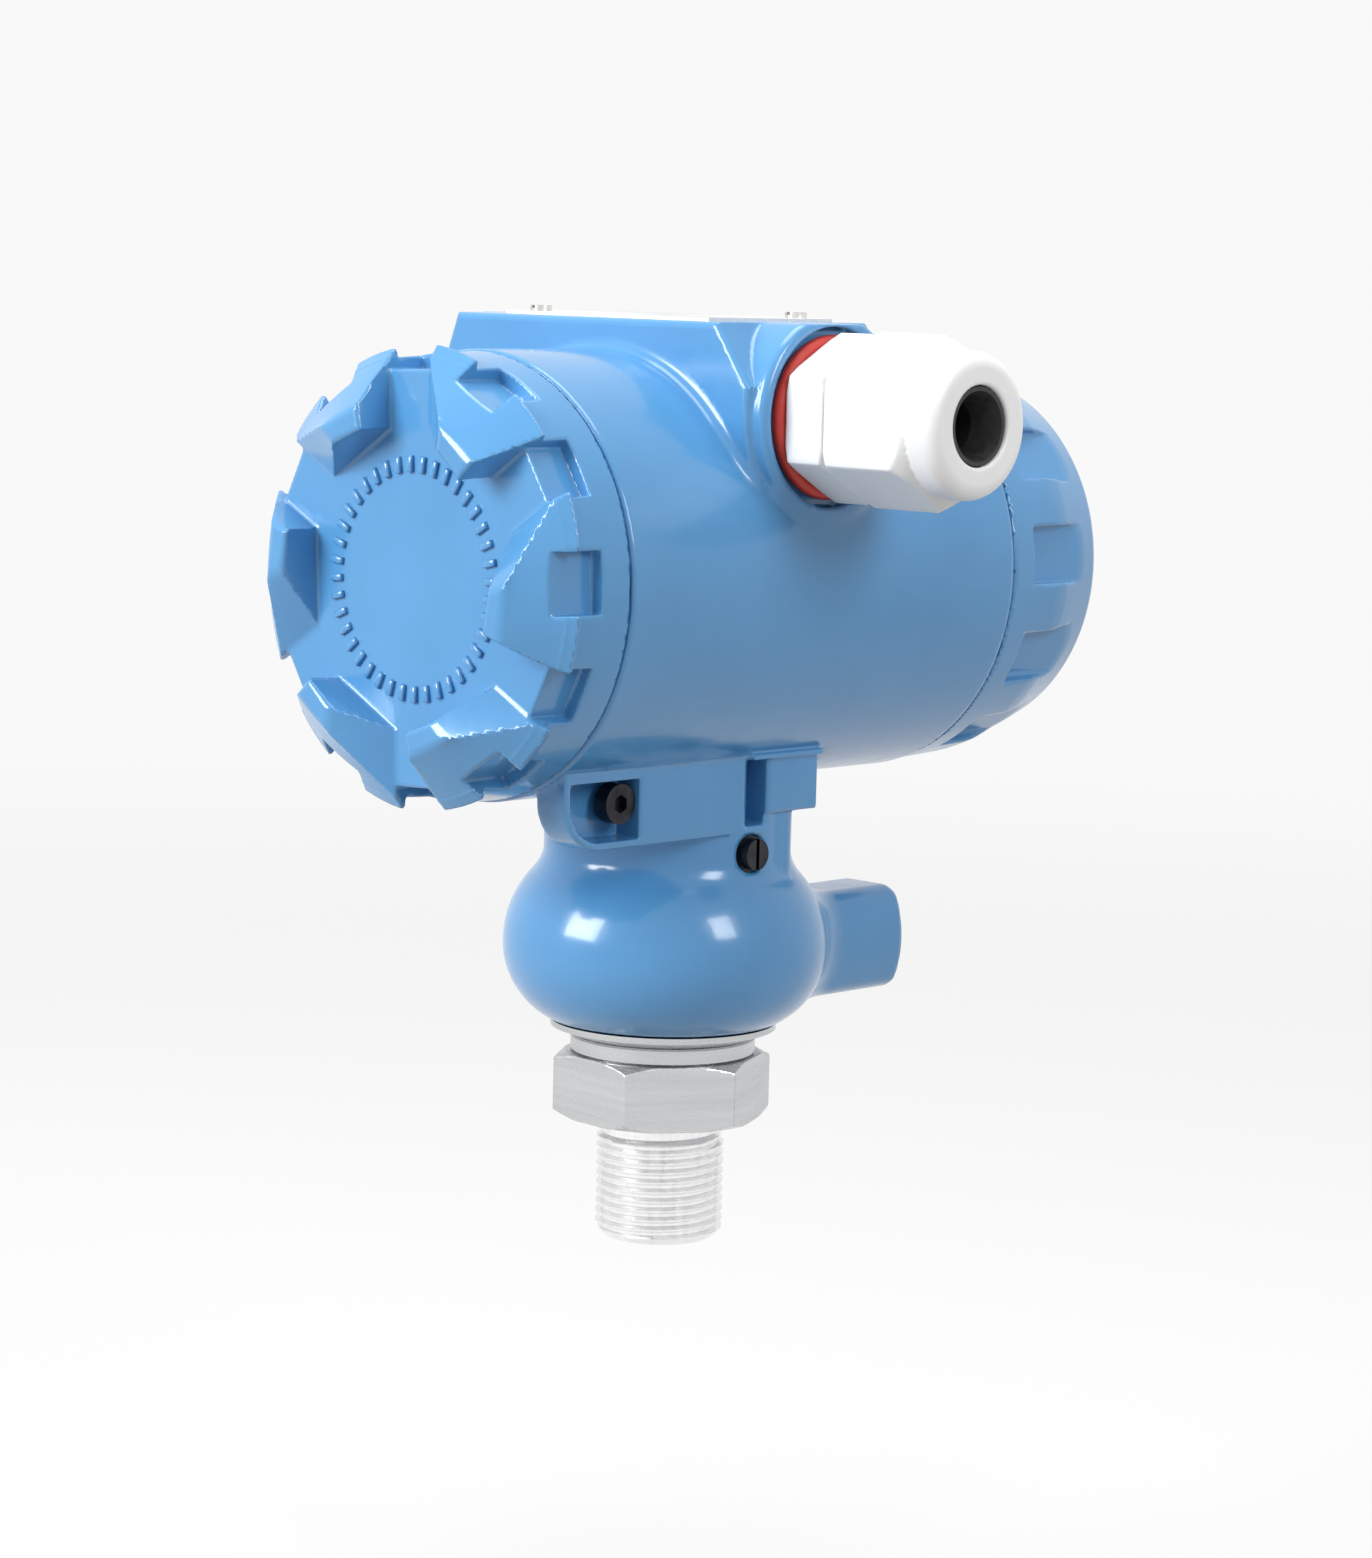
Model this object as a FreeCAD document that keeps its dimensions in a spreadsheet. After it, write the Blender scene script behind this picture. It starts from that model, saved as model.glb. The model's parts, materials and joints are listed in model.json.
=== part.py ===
import FreeCAD, Part
import math
import os
import re

import Sketcher

# Pressure transmitter, millimetres. +Z is up along the process axis, the front
# cover faces -Y and the cable gland faces +X. The origin is on the process axis,
# on the seat under the connector's hexagon, where the process thread starts.

SIZES = [
    # name, value, meaning
    ("axis_height", 86.2, "barrel axis above the seat"),
    ("barrel_radius", 33.5, "outside of the barrel"),
    ("barrel_half", 42.0, "centre to each cover seam"),
    ("barrel_edge", 0.7, "chamfer at the barrel ends"),
    ("barrel_wall", 4.0, "wall around both chambers"),
    ("bulkhead_face", 10.6, "front face of the wall between the chambers"),
    ("bulkhead_wall", 3.0, "thickness of that wall"),
    ("feed_radius", 3.0, "hole in the wall for the sensor leads"),
    ("feed_drop", 18.0, "that hole below the barrel axis"),
    ("conduit_drop", 13.8, "cable entry axis below the flat top"),
    ("bar_half_width", 16.6, "half width of the conduit bar"),
    ("bar_top_stand", 4.7, "flat top above the barrel"),
    ("gland_stand", 0.33, "gland boss face beyond the barrel's side"),
    ("plug_stand", 6.33, "plug boss face beyond the barrel's side"),
    ("slant_run", 6.6, "outward run of the sloping end"),
    ("slant_drop", 9.2, "drop of the sloping end"),
    ("bar_round", 0.9, "round on the bar's top edges"),
    ("hub_radius", 15.4, "boss around each cable entry"),
    ("hub_round", 1.3, "round on the boss rim"),
    ("hub_stand", 2.2, "boss face beyond the bar end"),
    ("hub_recess_radius", 13.4, "spot face in the boss"),
    ("hub_recess_depth", 2.0, "depth of the spot face"),
    ("entry_radius", 10.0, "cable entry thread"),
    ("entry_start", 14.0, "inner end of each cable entry"),
    ("junction_round", 1.6, "fillet between bar and barrel"),
    ("neck_radius", 19.3, "outside of the neck"),
    ("neck_round", 1.4, "fillet where the neck meets the bulb"),
    ("neck_bore", 8.0, "lead passage through the neck"),
    ("bulb_radius", 25.4, "bulb at its widest"),
    ("bulb_foot", 0.6, "bulb's foot below the arm"),
    ("bulb_foot_radius", 17.3, "foot of the bulb"),
    ("socket_radius", 13.5, "thread that takes the sensor collar"),
    ("socket_depth", 16.5, "depth of that thread"),
    ("arm_half_width", 6.0, "bracket arm at its top and bottom"),
    ("arm_belly", 2.2, "outward bulge of the arm's sides"),
    ("arm_drop", 3.0, "arm's middle below the bulb's widest level"),
    ("arm_height", 17.0, "arm top to bottom"),
    ("arm_end", 47.0, "bracket face from the process axis"),
    ("arm_round", 1.8, "round on the arm's long edges"),
    ("arm_shoulder", 7.4, "top of the bulb above the arm"),
    ("arm_blend", 6.0, "fillet between arm and bulb"),
    ("bracket_hole_radius", 2.5, "tapped holes in the bracket face"),
    ("bracket_hole_depth", 12.0, "depth of those holes"),
    ("bracket_spacing", 10.0, "distance between those holes"),
    ("lug_face", 18.9, "flat face of the lock lug"),
    ("lug_inner", 12.6, "back of the lock lug"),
    ("lug_inset", 1.4, "front end of the lock lug, in from the barrel's end"),
    ("lug_back", 1.6, "back end of the lock lug"),
    ("lug_drop", 6.0, "underside of the lug below the barrel"),
    ("lug_corner", 7.5, "round of the lug's front end"),
    ("lug_rim", 1.2, "wall left around the screw pocket"),
    ("pocket_length", 15.5, "lug's front end to the pocket's back wall"),
    ("pocket_rise", 4.1, "roof of the pocket above the barrel's underside"),
    ("pocket_depth", 5.0, "depth of the pocket"),
    ("lip_rise", 6.4, "lip on the lug above the barrel's underside"),
    ("lip_size", 1.0, "lip height and overhang"),
    ("slot_front", -2.6, "front of the slot behind the lug"),
    ("slot_depth", 6.0, "depth of that slot"),
    ("block_front", 1.4, "front of the stop block"),
    ("block_back", 12.8, "back of the stop block"),
    ("block_drop", 3.1, "underside of the stop block below the barrel"),
    ("block_face", 19.8, "flat face of the stop block"),
    ("post_front", 4.9, "front of the post under the block"),
    ("post_back", 8.0, "back of the post"),
    ("seam_gap", 0.4, "gap between cover and barrel"),
    ("cover_step", 0.3, "cover at the seam, in from the barrel's side"),
    ("cover_taper", 0.7, "how much the cover narrows to its outer rim"),
    ("spigot_wall", 3.9, "cover's inside, in from the chamber's"),
    ("cover_wall", 3.4, "end wall of a cover"),
    ("cover_thread_length", 8.0, "screwed length of a cover"),
    ("cover_clearance", 0.3, "between cover thread and barrel"),
    ("ring_radius", 1.1, "section of a cover seal"),
    ("front_skirt", 12.1, "seam to the front cover's face"),
    ("front_cover_turn", 2.85, "how far the front cover is turned"),
    ("hexagon_flat", 21.4, "centre to a side of the raised hexagon"),
    ("spoke_half_width", 4.45, "half width of a spoke"),
    ("lug_height", 6.2, "grip lug above the face"),
    ("grip_inner_cw", 21.0, "grip top, inner corner, clockwise side"),
    ("grip_inner_ccw", 22.5, "grip top, inner corner, other side"),
    ("grip_outer_cw", 24.4, "grip top, outer corner, clockwise side"),
    ("grip_outer_ccw", 25.8, "grip top, outer corner, other side"),
    ("reach_inner_cw", 7.1, "grip top, inner corner, reach clockwise"),
    ("reach_outer_cw", 8.2, "grip top, outer corner, reach clockwise"),
    ("reach_inner_ccw", 1.2, "other inner corner, also clockwise"),
    ("reach_outer_ccw", 0.2, "other outer corner, also clockwise"),
    ("notch_width", 9.0, "rim notch across"),
    ("notch_depth", 2.0, "rim notch radially"),
    ("notch_length", 6.6, "rim notch along the axis"),
    ("tick_radius", 15.6, "inner end of the raised ticks"),
    ("tick_length", 2.4, "length of a tick"),
    ("tick_width", 1.0, "width of a tick"),
    ("tick_height", 0.5, "height of a tick"),
    ("rear_skirt", 13.6, "seam to the rear cover's crown"),
    ("rear_cover_turn", 4.0, "how far the rear cover is turned"),
    ("crown_length", 13.4, "length of the rear crown"),
    ("crown_taper", 3.3, "how much the crown narrows to its end"),
    ("crown_round", 2.6, "round on the crown's end"),
    ("rear_notch_length", 8.0, "rear rim notch along the axis"),
    ("relief_depth", 1.4, "shallow relief in the crown's end"),
    ("gland_flats", 22.0, "gland body across flats"),
    ("gland_lift", 0.3, "gland hexagon above the boss"),
    ("gland_hex", 7.4, "length of the gland body's hexagon"),
    ("gland_spigot", 9.0, "gland thread inside the entry"),
    ("gland_collar", 8.6, "gland thread that carries the nut"),
    ("gland_collar_radius", 8.9, "radius of that thread"),
    ("gland_bore", 5.4, "cable passage in the gland body"),
    ("seal_seat", 4.0, "depth of the seal's seat in the gland body"),
    ("seal_radius", 6.8, "outside of the gland seal"),
    ("seal_funnel", 4.5, "depth of the seal's funnel"),
    ("claw_radius", 8.5, "outside of the claw ring"),
    ("nut_flats", 22.6, "dome nut across flats"),
    ("nut_gap", 0.4, "gap between gland body and nut"),
    ("nut_hex", 13.0, "length of the nut's hexagon"),
    ("nut_dome", 7.6, "length of the nut's dome"),
    ("nut_dome_radius", 10.7, "radius of the dome"),
    ("nut_round", 2.4, "round of the dome's end"),
    ("nut_mouth", 5.95, "mouth of the nut"),
    ("nut_wall", 1.7, "end wall of the nut"),
    ("seal_bore", 3.5, "cable hole in the gland seal"),
    ("gland_ring_radius", 1.1, "section of the red sealing ring"),
    ("plug_flats", 22.0, "blanking plug across flats"),
    ("plug_head", 5.0, "blanking plug head"),
    ("plug_spigot", 8.0, "blanking plug thread"),
    ("screw_clearance", 0.2, "around a screwed-in piece that turns"),
    ("fit_clearance", 0.05, "around a piece that is screwed home"),
    ("plate_length", 44.0, "nameplate along X"),
    ("plate_width", 27.0, "nameplate along Y"),
    ("plate_thick", 0.5, "nameplate thickness"),
    ("plate_shift", -2.8, "nameplate centre along X"),
    ("plate_screw_x", 17.6, "plate screw from the plate's centre"),
    ("plate_screw_y", 10.1, "plate screw from the plate's centre"),
    ("plate_screw_head", 1.7, "plate screw head radius"),
    ("plate_screw_shank", 1.0, "plate screw shank radius"),
    ("plate_screw_length", 5.0, "plate screw length"),
    ("lock_screw_inset", 12.4, "lug's front end to the lock screw"),
    ("lock_screw_rise", 0.5, "lock screw above the barrel's underside"),
    ("lock_screw_head", 3.0, "lock screw head radius"),
    ("lock_screw_sink", 1.0, "lock screw below the lug's face"),
    ("earth_screw_y", -1.1, "earth screw along the barrel"),
    ("earth_screw_drop", 9.1, "earth screw below the barrel"),
    ("earth_flat", 18.4, "flat for the earth screw"),
    ("washer_radius", 2.8, "earth washer"),
    ("washer_thick", 0.5, "earth washer"),
    ("hex_flats", 30.0, "process hexagon across flats"),
    ("hex_height", 10.2, "process hexagon height"),
    ("hex_turn", -4.5, "how far the hexagon is turned"),
    ("ring_stand", 2.7, "plain ring above the hexagon"),
    ("ring_outer", 14.5, "radius of that ring"),
    ("flange_height", 2.3, "sensor flange"),
    ("flange_radius", 17.7, "sensor flange radius"),
    ("flange_waist", 14.0, "narrow end of the flange's cone"),
    ("thread_radius", 10.0, "process thread M20 x 1.5"),
    ("thread_length", 19.1, "process thread from the seat"),
    ("thread_chamfer", 1.4, "chamfer at the thread's end"),
    ("port_radius", 1.75, "pressure port"),
    ("collar_bore", 10.5, "bore of the sensor collar"),
    ("collar_top", 16.0, "sensor collar inside the bulb"),
    ("stem_height", 5.0, "connector's stem inside the collar"),
    ("capsule_radius", 9.5, "sensor capsule"),
    ("capsule_height", 7.6, "sensor capsule"),
    ("capsule_ring", 0.9, "section of the capsule's seal"),
    ("retainer_height", 2.0, "ring that holds the capsule"),
    ("lead_radius", 1.5, "bundle of sensor leads"),
    ("board_gap", 4.5, "circuit board's edge in from the chamber's wall"),
    ("board_thick", 1.6, "circuit board"),
    ("chip_half", 5.0, "half width of the processor"),
    ("chip_height", 1.4, "height of the processor"),
    ("chip_rise", 3.0, "processor above the board's middle"),
    ("strip_half", 9.0, "half length of the plug strip"),
    ("strip_drop", 13.5, "plug strip below the board's middle"),
    ("strip_height", 7.0, "height and width of the plug strip"),
    ("capacitor_radius", 3.2, "large capacitor"),
    ("capacitor_height", 8.0, "large capacitor"),
    ("capacitor_reach", 13.0, "capacitors to each side of the middle"),
    ("capacitor_rise", 4.0, "capacitors above the board's middle"),
    ("small_capacitor_radius", 2.4, "small capacitor"),
    ("small_capacitor_height", 6.0, "small capacitor"),
    ("post_height", 8.0, "board standoffs"),
    ("post_radius", 2.5, "board standoffs"),
    ("post_inset", 4.5, "standoffs in from the board's edge"),
    ("small_screw_head", 2.4, "small screw head radius"),
    ("small_screw_shank", 1.4, "small screw shank radius"),
    ("terminal_inset", 10.5, "terminal block's ends in from the chamber's wall"),
    ("terminal_low", -15.0, "terminal block, lower edge"),
    ("terminal_high", 7.0, "terminal block, upper edge"),
    ("terminal_depth", 15.0, "terminal block depth"),
    ("terminal_pitch", 9.5, "distance between terminals"),
    ("well_depth", 4.0, "depth of a terminal well"),
    ("well_half", 3.6, "half width of a terminal well"),
    ("screw_head_height", 1.6, "small screw head height"),
    ("slot_half", 0.35, "half width of a screw's slot"),
    ("screw_length", 5.0, "small screw length"),
    ("lead_bend", 5.0, "bend of the sensor leads"),
    ("plug_half", 4.0, "half width of the lead plug"),
    ("fixing_inset", 3.4, "terminal block screws in from its ends"),
    ("fixing_z", -11.6, "terminal block screws above the barrel axis"),
    ("inner_earth_inset", 6.1, "inner earth screw in from the chamber's wall"),
    ("inner_earth_z", -8.0, "inner earth screw above the barrel axis"),
]
NAMES = [name for name, value, meaning in SIZES]
GRIPS = 6
NOTCHES = 12
TICKS = 40
TERMINALS = 3
POSTS = 3

doc = FreeCAD.newDocument("pressure_transmitter")
sheet = doc.addObject("Spreadsheet::Sheet", "sizes")
nodes = []


def fill_sheet():
    """Write the driving sizes into the sheet, one row each."""
    for row, (name, value, meaning) in enumerate(SIZES, 1):
        sheet.set("A%d" % row, name)
        sheet.set("B%d" % row, str(value))
        sheet.set("C%d" % row, meaning)
        sheet.setAlias("B%d" % row, name)
    doc.recompute()


def link(formula):
    """Point the size names in a formula at the sheet."""
    def named(word):
        return "sizes." + word.group() if word.group() in NAMES else word.group()

    return re.sub(r"[a-z_]+", named, formula)


def number(formula):
    """Work a formula out with the sheet's present values."""
    return float(sheet.evalExpression(formula))


def bind(item, **formulas):
    """Bind an object's properties to formulas of the sheet."""
    for name, formula in formulas.items():
        item.setExpression(name, link(formula))


def move(item, x=None, y=None, z=None):
    """Bind an object's place."""
    for name, formula in (("x", x), ("y", y), ("z", z)):
        if formula is not None:
            item.setExpression("Placement.Base." + name, link(formula))
    return item


def node(item, label):
    """Mark an object as a finished sub-part."""
    item.Label = label
    nodes.append(item)
    return item


# Sketches

FRAMES = {"X": "YZ_Plane", "Y": "XZ_Plane", "Z": "XY_Plane"}


def plane(body, role):
    """Find one of the body's own origin planes or axes."""
    return [item for item in body.Origin.OriginFeatures if item.Role == role][0]


def arc_between(start, end, radius, side):
    """Arc from start to end; side 1 runs anticlockwise, side -1 clockwise."""
    middle = (start + end) * 0.5
    chord = end - start
    reach = math.sqrt(max(radius ** 2 - (chord.Length / 2) ** 2, 0))
    across = FreeCAD.Vector(-chord.y, chord.x, 0).normalize()
    centre = middle + across * reach * side
    circle = Part.Circle(centre, FreeCAD.Vector(0, 0, 1), radius)
    first, last = (start, end) if side > 0 else (end, start)
    return Part.ArcOfCircle(circle, circle.parameter(first), circle.parameter(last))


def outline(body, role, points, offset=None):
    """Closed sketch through points; a point may name the radius and side of the arc that reaches it."""
    sketch = body.newObject("Sketcher::SketchObject", body.Name + "_outline")
    sketch.AttachmentSupport = (plane(body, role), [""])
    sketch.MapMode = "FlatFace"
    if offset is not None:
        sketch.setExpression("AttachmentOffset.Base.z", link(offset))
    spots = [FreeCAD.Vector(number(point[0]), number(point[1]), 0) for point in points]
    ends = []
    for index, start in enumerate(spots):
        following = (index + 1) % len(points)
        end = spots[following]
        bend = points[following][2:]
        if bend:
            sketch.addGeometry(arc_between(start, end, number(bend[0]), bend[1]), False)
            ends.append((1, 2) if bend[1] > 0 else (2, 1))
        else:
            sketch.addGeometry(Part.LineSegment(start, end), False)
            ends.append((1, 2))
    for index, end in enumerate(ends):
        following = (index + 1) % len(points)
        meeting = Sketcher.Constraint("Coincident", index, end[1], following, ends[following][0])
        sketch.addConstraint(meeting)
    for index, point in enumerate(points):
        first = ends[index][0]
        values = ((-2, "DistanceX", point[0]), (-1, "DistanceY", point[1]))
        for axis, kind, formula in values:
            if formula == "0":
                sketch.addConstraint(Sketcher.Constraint("PointOnObject", index, first, axis))
            else:
                distance = Sketcher.Constraint(kind, -1, 1, index, first, number(formula))
                row = sketch.addConstraint(distance)
                sketch.setExpression("Constraints[%d]" % row, link(formula))
        if point[2:]:
            arc = (index - 1) % len(points)
            row = sketch.addConstraint(Sketcher.Constraint("Radius", arc, number(point[2])))
            sketch.setExpression("Constraints[%d]" % row, link(point[2]))
    return sketch


def turned(name, axis, points):
    """Body turned about an axis through its own origin, from (along, radius) points."""
    body = doc.addObject("PartDesign::Body", name)
    if axis == "Z":
        points = [(point[1], point[0]) + ((point[2], -point[3]) if point[2:] else ()) for point in points]
    sketch = outline(body, "YZ_Plane" if axis == "Y" else "XZ_Plane", points)
    turn = body.newObject("PartDesign::Revolution", name + "_turn")
    turn.Profile = sketch
    turn.ReferenceAxis = (sketch, ["V_Axis" if axis == "Z" else "H_Axis"])
    turn.Angle = 360
    body.Tip = turn
    return body


def padded(name, axis, points, low, high):
    """Body extruded along an axis from low to high; points lie in the plane across it."""
    body = doc.addObject("PartDesign::Body", name)
    offset = "-(%s)" % high if axis == "Y" else low
    sketch = outline(body, FRAMES[axis], points, offset)
    pad = body.newObject("PartDesign::Pad", name + "_pad")
    pad.Profile = sketch
    bind(pad, Length="(%s) - (%s)" % (high, low))
    body.Tip = pad
    return body


# Primitives and booleans

TURNS = {
    "X": FreeCAD.Rotation(FreeCAD.Vector(0, 1, 0), 90),
    "Y": FreeCAD.Rotation(FreeCAD.Vector(1, 0, 0), -90),
    "Z": FreeCAD.Rotation(),
}


def box(name, low, high):
    """Box between two corners, each three formulas."""
    item = doc.addObject("Part::Box", name)
    bind(
        item,
        Length="(%s) - (%s)" % (high[0], low[0]),
        Width="(%s) - (%s)" % (high[1], low[1]),
        Height="(%s) - (%s)" % (high[2], low[2]),
    )
    return move(item, *low)


def rod(name, axis, radius, low, high, x="0", y="0", z="0"):
    """Cylinder along an axis from low to high, its axis through the other two places."""
    item = doc.addObject("Part::Cylinder", name)
    item.Placement = FreeCAD.Placement(FreeCAD.Vector(), TURNS[axis])
    bind(item, Radius=radius, Height="(%s) - (%s)" % (high, low))
    return move(item, **dict({"x": x, "y": y, "z": z}, **{axis.lower(): low}))


def hexagon(name, axis, flats, low, high, x="0", y="0", z="0"):
    """Hexagonal bar along an axis, given across its flats."""
    item = doc.addObject("Part::Prism", name)
    item.Polygon = 6
    item.Placement = FreeCAD.Placement(FreeCAD.Vector(), TURNS[axis])
    bind(item, Circumradius="(%s) / sqrt(3)" % flats, Height="(%s) - (%s)" % (high, low))
    return move(item, **dict({"x": x, "y": y, "z": z}, **{axis.lower(): low}))


def ring(name, axis, major, minor, x="0", y="0", z="0"):
    """Round-section ring about an axis."""
    item = doc.addObject("Part::Torus", name)
    item.Placement = FreeCAD.Placement(FreeCAD.Vector(), TURNS[axis])
    bind(item, Radius1=major, Radius2=minor)
    return move(item, x, y, z)


def fused(name, parts):
    """One solid from several."""
    item = doc.addObject("Part::MultiFuse", name)
    item.Shapes = parts
    item.Refine = True
    return item


def cut(name, base, tools):
    """A solid with tools taken away."""
    item = doc.addObject("Part::Cut", name)
    item.Base = base
    item.Tool = tools[0] if len(tools) == 1 else fused(name + "_tools", tools)
    item.Refine = True
    return item


def shared(name, first, second):
    """What two solids have in common."""
    item = doc.addObject("Part::MultiCommon", name)
    item.Shapes = [first, second]
    return item


def rounded(name, base, radius, wanted):
    """Fillet the edges of a solid that a test picks by their faces."""
    doc.recompute()
    size = number(radius)
    picked = []
    for index, edge in enumerate(base.Shape.Edges, 1):
        faces = base.Shape.ancestorsOfType(edge, Part.Face)
        if wanted(edge, faces):
            picked.append((index, size, size))
    item = doc.addObject("Part::Fillet", name)
    item.Base = base
    item.Edges = picked
    return item


def is_round(face, size, axis):
    """True for a cylinder face of a given radius along an axis."""
    surface = face.Surface
    if not isinstance(surface, Part.Cylinder):
        return False
    return abs(surface.Radius - number(size)) < 1e-4 and abs(surface.Axis * axis) > 0.999


X_AXIS = FreeCAD.Vector(1, 0, 0)
Y_AXIS = FreeCAD.Vector(0, 1, 0)
Z_AXIS = FreeCAD.Vector(0, 0, 1)


# Housing casting

BULB_FOOT = "(hex_height + ring_stand + flange_height)"
BULB_UPPER = "(arm_height / 2 - arm_drop + arm_shoulder)"
BULB_LOWER = "(arm_height / 2 + arm_drop + bulb_foot)"
BULB_LEVEL = "(%s + %s)" % (BULB_FOOT, BULB_LOWER)
BULB_TOP = "(%s + %s)" % (BULB_LEVEL, BULB_UPPER)
UP = "axis_height + "
DOWN = "axis_height - "
UNDER = "axis_height - barrel_radius"
LUG_FRONT = "(lug_inset - barrel_half)"
ARM_LEVEL = "(%s - arm_drop)" % BULB_LEVEL
CHAMBER = "(barrel_radius - barrel_wall)"
BOARD_RADIUS = "(%s - board_gap)" % CHAMBER
POST_CIRCLE = "(%s - post_inset)" % BOARD_RADIUS
TERMINAL_HALF = "(%s - terminal_inset)" % CHAMBER
COVER_SEAM = "(barrel_radius - cover_step)"
COVER_RIM = "(barrel_radius - cover_step - cover_taper)"
COVER_INSIDE = "(barrel_radius - barrel_wall - spigot_wall)"
CROWN_END = "(barrel_radius - cover_step - cover_taper - crown_taper)"
BAR_TOP = "axis_height + barrel_radius + bar_top_stand"
ENTRY_RISE = "(barrel_radius + bar_top_stand - conduit_drop)"
BARREL_SIDE = "sqrt(barrel_radius^2 - (%s - hub_radius)^2)" % ENTRY_RISE
GLAND = "(%s + gland_stand)" % BARREL_SIDE
PLUG = "(%s + plug_stand)" % BARREL_SIDE
FACES = {1: GLAND, -1: PLUG}


def signed(side, formula):
    """A formula, negated for the -1 side."""
    return "%d * (%s)" % (side, formula)


def span(side, near, far):
    """Low and high ends of a stretch on one side of the middle."""
    return (near, far) if side > 0 else (signed(-1, far), signed(-1, near))


def conduit_bar():
    """Flat-topped bar over the barrel, with sloping ends and a round boss at each end."""
    top = BAR_TOP
    middle = UP + ENTRY_RISE
    left = "-(%s - hub_stand)" % PLUG
    right = "%s - hub_stand" % GLAND
    slab = box("bar_slab", (left, "-bar_half_width", middle), (right, "bar_half_width", top))
    belly = rod("bar_belly", "X", "bar_half_width", left, right, z=middle)
    bar = fused("bar_blank", [slab, belly])
    slopes = []
    for side, face in FACES.items():
        corner = signed(side, face + " - hub_stand - slant_run")
        tip = signed(side, face + " - hub_stand")
        beyond = signed(side, face + " - hub_stand + 2")
        points = [
            (corner, top + " + 2"),
            (corner, top),
            (tip, top + " - slant_drop"),
            (beyond, top + " - slant_drop"),
            (beyond, top + " + 2"),
        ]
        slopes.append(padded("slope", "Y", points, "-bar_half_width - 1", "bar_half_width + 1"))
    above = box("above_bar", ("-2 * " + PLUG, "-2 * bar_half_width", top),
                ("2 * " + PLUG, "2 * bar_half_width", top + " + hub_radius"))
    bar = cut("bar_sloped", bar, slopes + [above])

    def top_edge(edge, faces):
        return all(abs(vertex.Z - number(top)) < 1e-4 for vertex in edge.Vertexes)

    bar = rounded("bar_rounded", bar, "bar_round", top_edge)
    bosses = []
    for side, boss_face in FACES.items():
        face = signed(side, boss_face)
        shoulder = signed(side, boss_face + " - hub_round")
        points = [
            ("0", "0"),
            ("0", "hub_radius"),
            (shoulder, "hub_radius"),
            (face, "hub_radius - hub_round", "hub_round", -side),
            (face, "0"),
        ]
        bosses.append(move(turned("boss", "X", points), z=middle))
    return fused("conduit_bar", [bar, cut("bosses", fused("boss_pair", bosses), [above])])


def bulb():
    """Neck and bulb turned about the process axis."""
    inset = "(bulb_radius - neck_radius)"
    foot_inset = "(bulb_radius - bulb_foot_radius)"
    points = [
        ("axis_height", "0"),
        ("axis_height", "neck_radius"),
        (BULB_TOP, "neck_radius"),
        (BULB_LEVEL, "bulb_radius", "(%s^2 + %s^2) / (2 * %s)" % (inset, BULB_UPPER, inset), 1),
        (BULB_FOOT, "bulb_foot_radius",
         "(%s^2 + %s^2) / (2 * %s)" % (foot_inset, BULB_LOWER, foot_inset), 1),
        (BULB_FOOT, "0"),
    ]
    body = turned("bulb", "Z", points)

    def crease(edge, faces):
        level = number(BULB_TOP)
        return all(abs(vertex.Z - level) < 1e-4 for vertex in edge.Vertexes) and len(faces) == 2

    return rounded("bulb_soft", body, "neck_round", crease)


def bracket_arm():
    """Arm behind the bulb with slightly bulging sides; its end takes a bracket."""
    top = ARM_LEVEL + " + arm_height / 2"
    bottom = top + " - arm_height"
    bow = "((arm_height / 2)^2 + arm_belly^2) / (2 * arm_belly)"
    points = [
        ("-arm_half_width", top, bow, -1),
        ("arm_half_width", top),
        ("arm_half_width", bottom, bow, -1),
        ("-arm_half_width", bottom),
    ]
    arm = padded("arm_blank", "Y", points, "0", "arm_end")

    def long_edge(edge, faces):
        ends = sorted(vertex.Y for vertex in edge.Vertexes)
        return len(ends) == 2 and ends[1] - ends[0] > 1

    return rounded("arm", arm, "arm_round", long_edge)


def lock_lug():
    """Flat-faced lug under the barrel with a rounded front end, lip, slot and stop block."""
    under = UNDER + " - lug_drop"
    inside = UNDER + " + pocket_rise + 8"
    points = [
        (LUG_FRONT, inside),
        (LUG_FRONT, under + " + lug_corner"),
        (LUG_FRONT + " + lug_corner", under, "lug_corner", 1),
        ("lug_back", under),
        ("lug_back", inside),
    ]
    lug = padded("lug_blank", "X", points, "lug_inner", "lug_face")
    lip_low = UNDER + " + lip_rise"
    lip = box(
        "lug_lip",
        ("lug_inner", LUG_FRONT + " + lug_corner", lip_low),
        ("lug_face + lip_size", "slot_front", lip_low + " + lip_size"),
    )
    block = box(
        "stop_block",
        ("lug_inner", "block_front", UNDER + " - block_drop"),
        ("block_face", "block_back", UNDER + " + pocket_rise + 6"),
    )
    block_lip = box(
        "stop_lip",
        ("lug_inner", "slot_front", lip_low + " - lip_size"),
        ("block_face + lip_size", "block_back", lip_low + " + lip_size / 2"),
    )
    post = box(
        "stop_post",
        ("lug_inner", "post_front", BULB_LEVEL),
        ("lug_face", "post_back", UNDER + " - block_drop + 1"),
    )
    return fused("lug_group", [lug, lip, block, block_lip, post])


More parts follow.
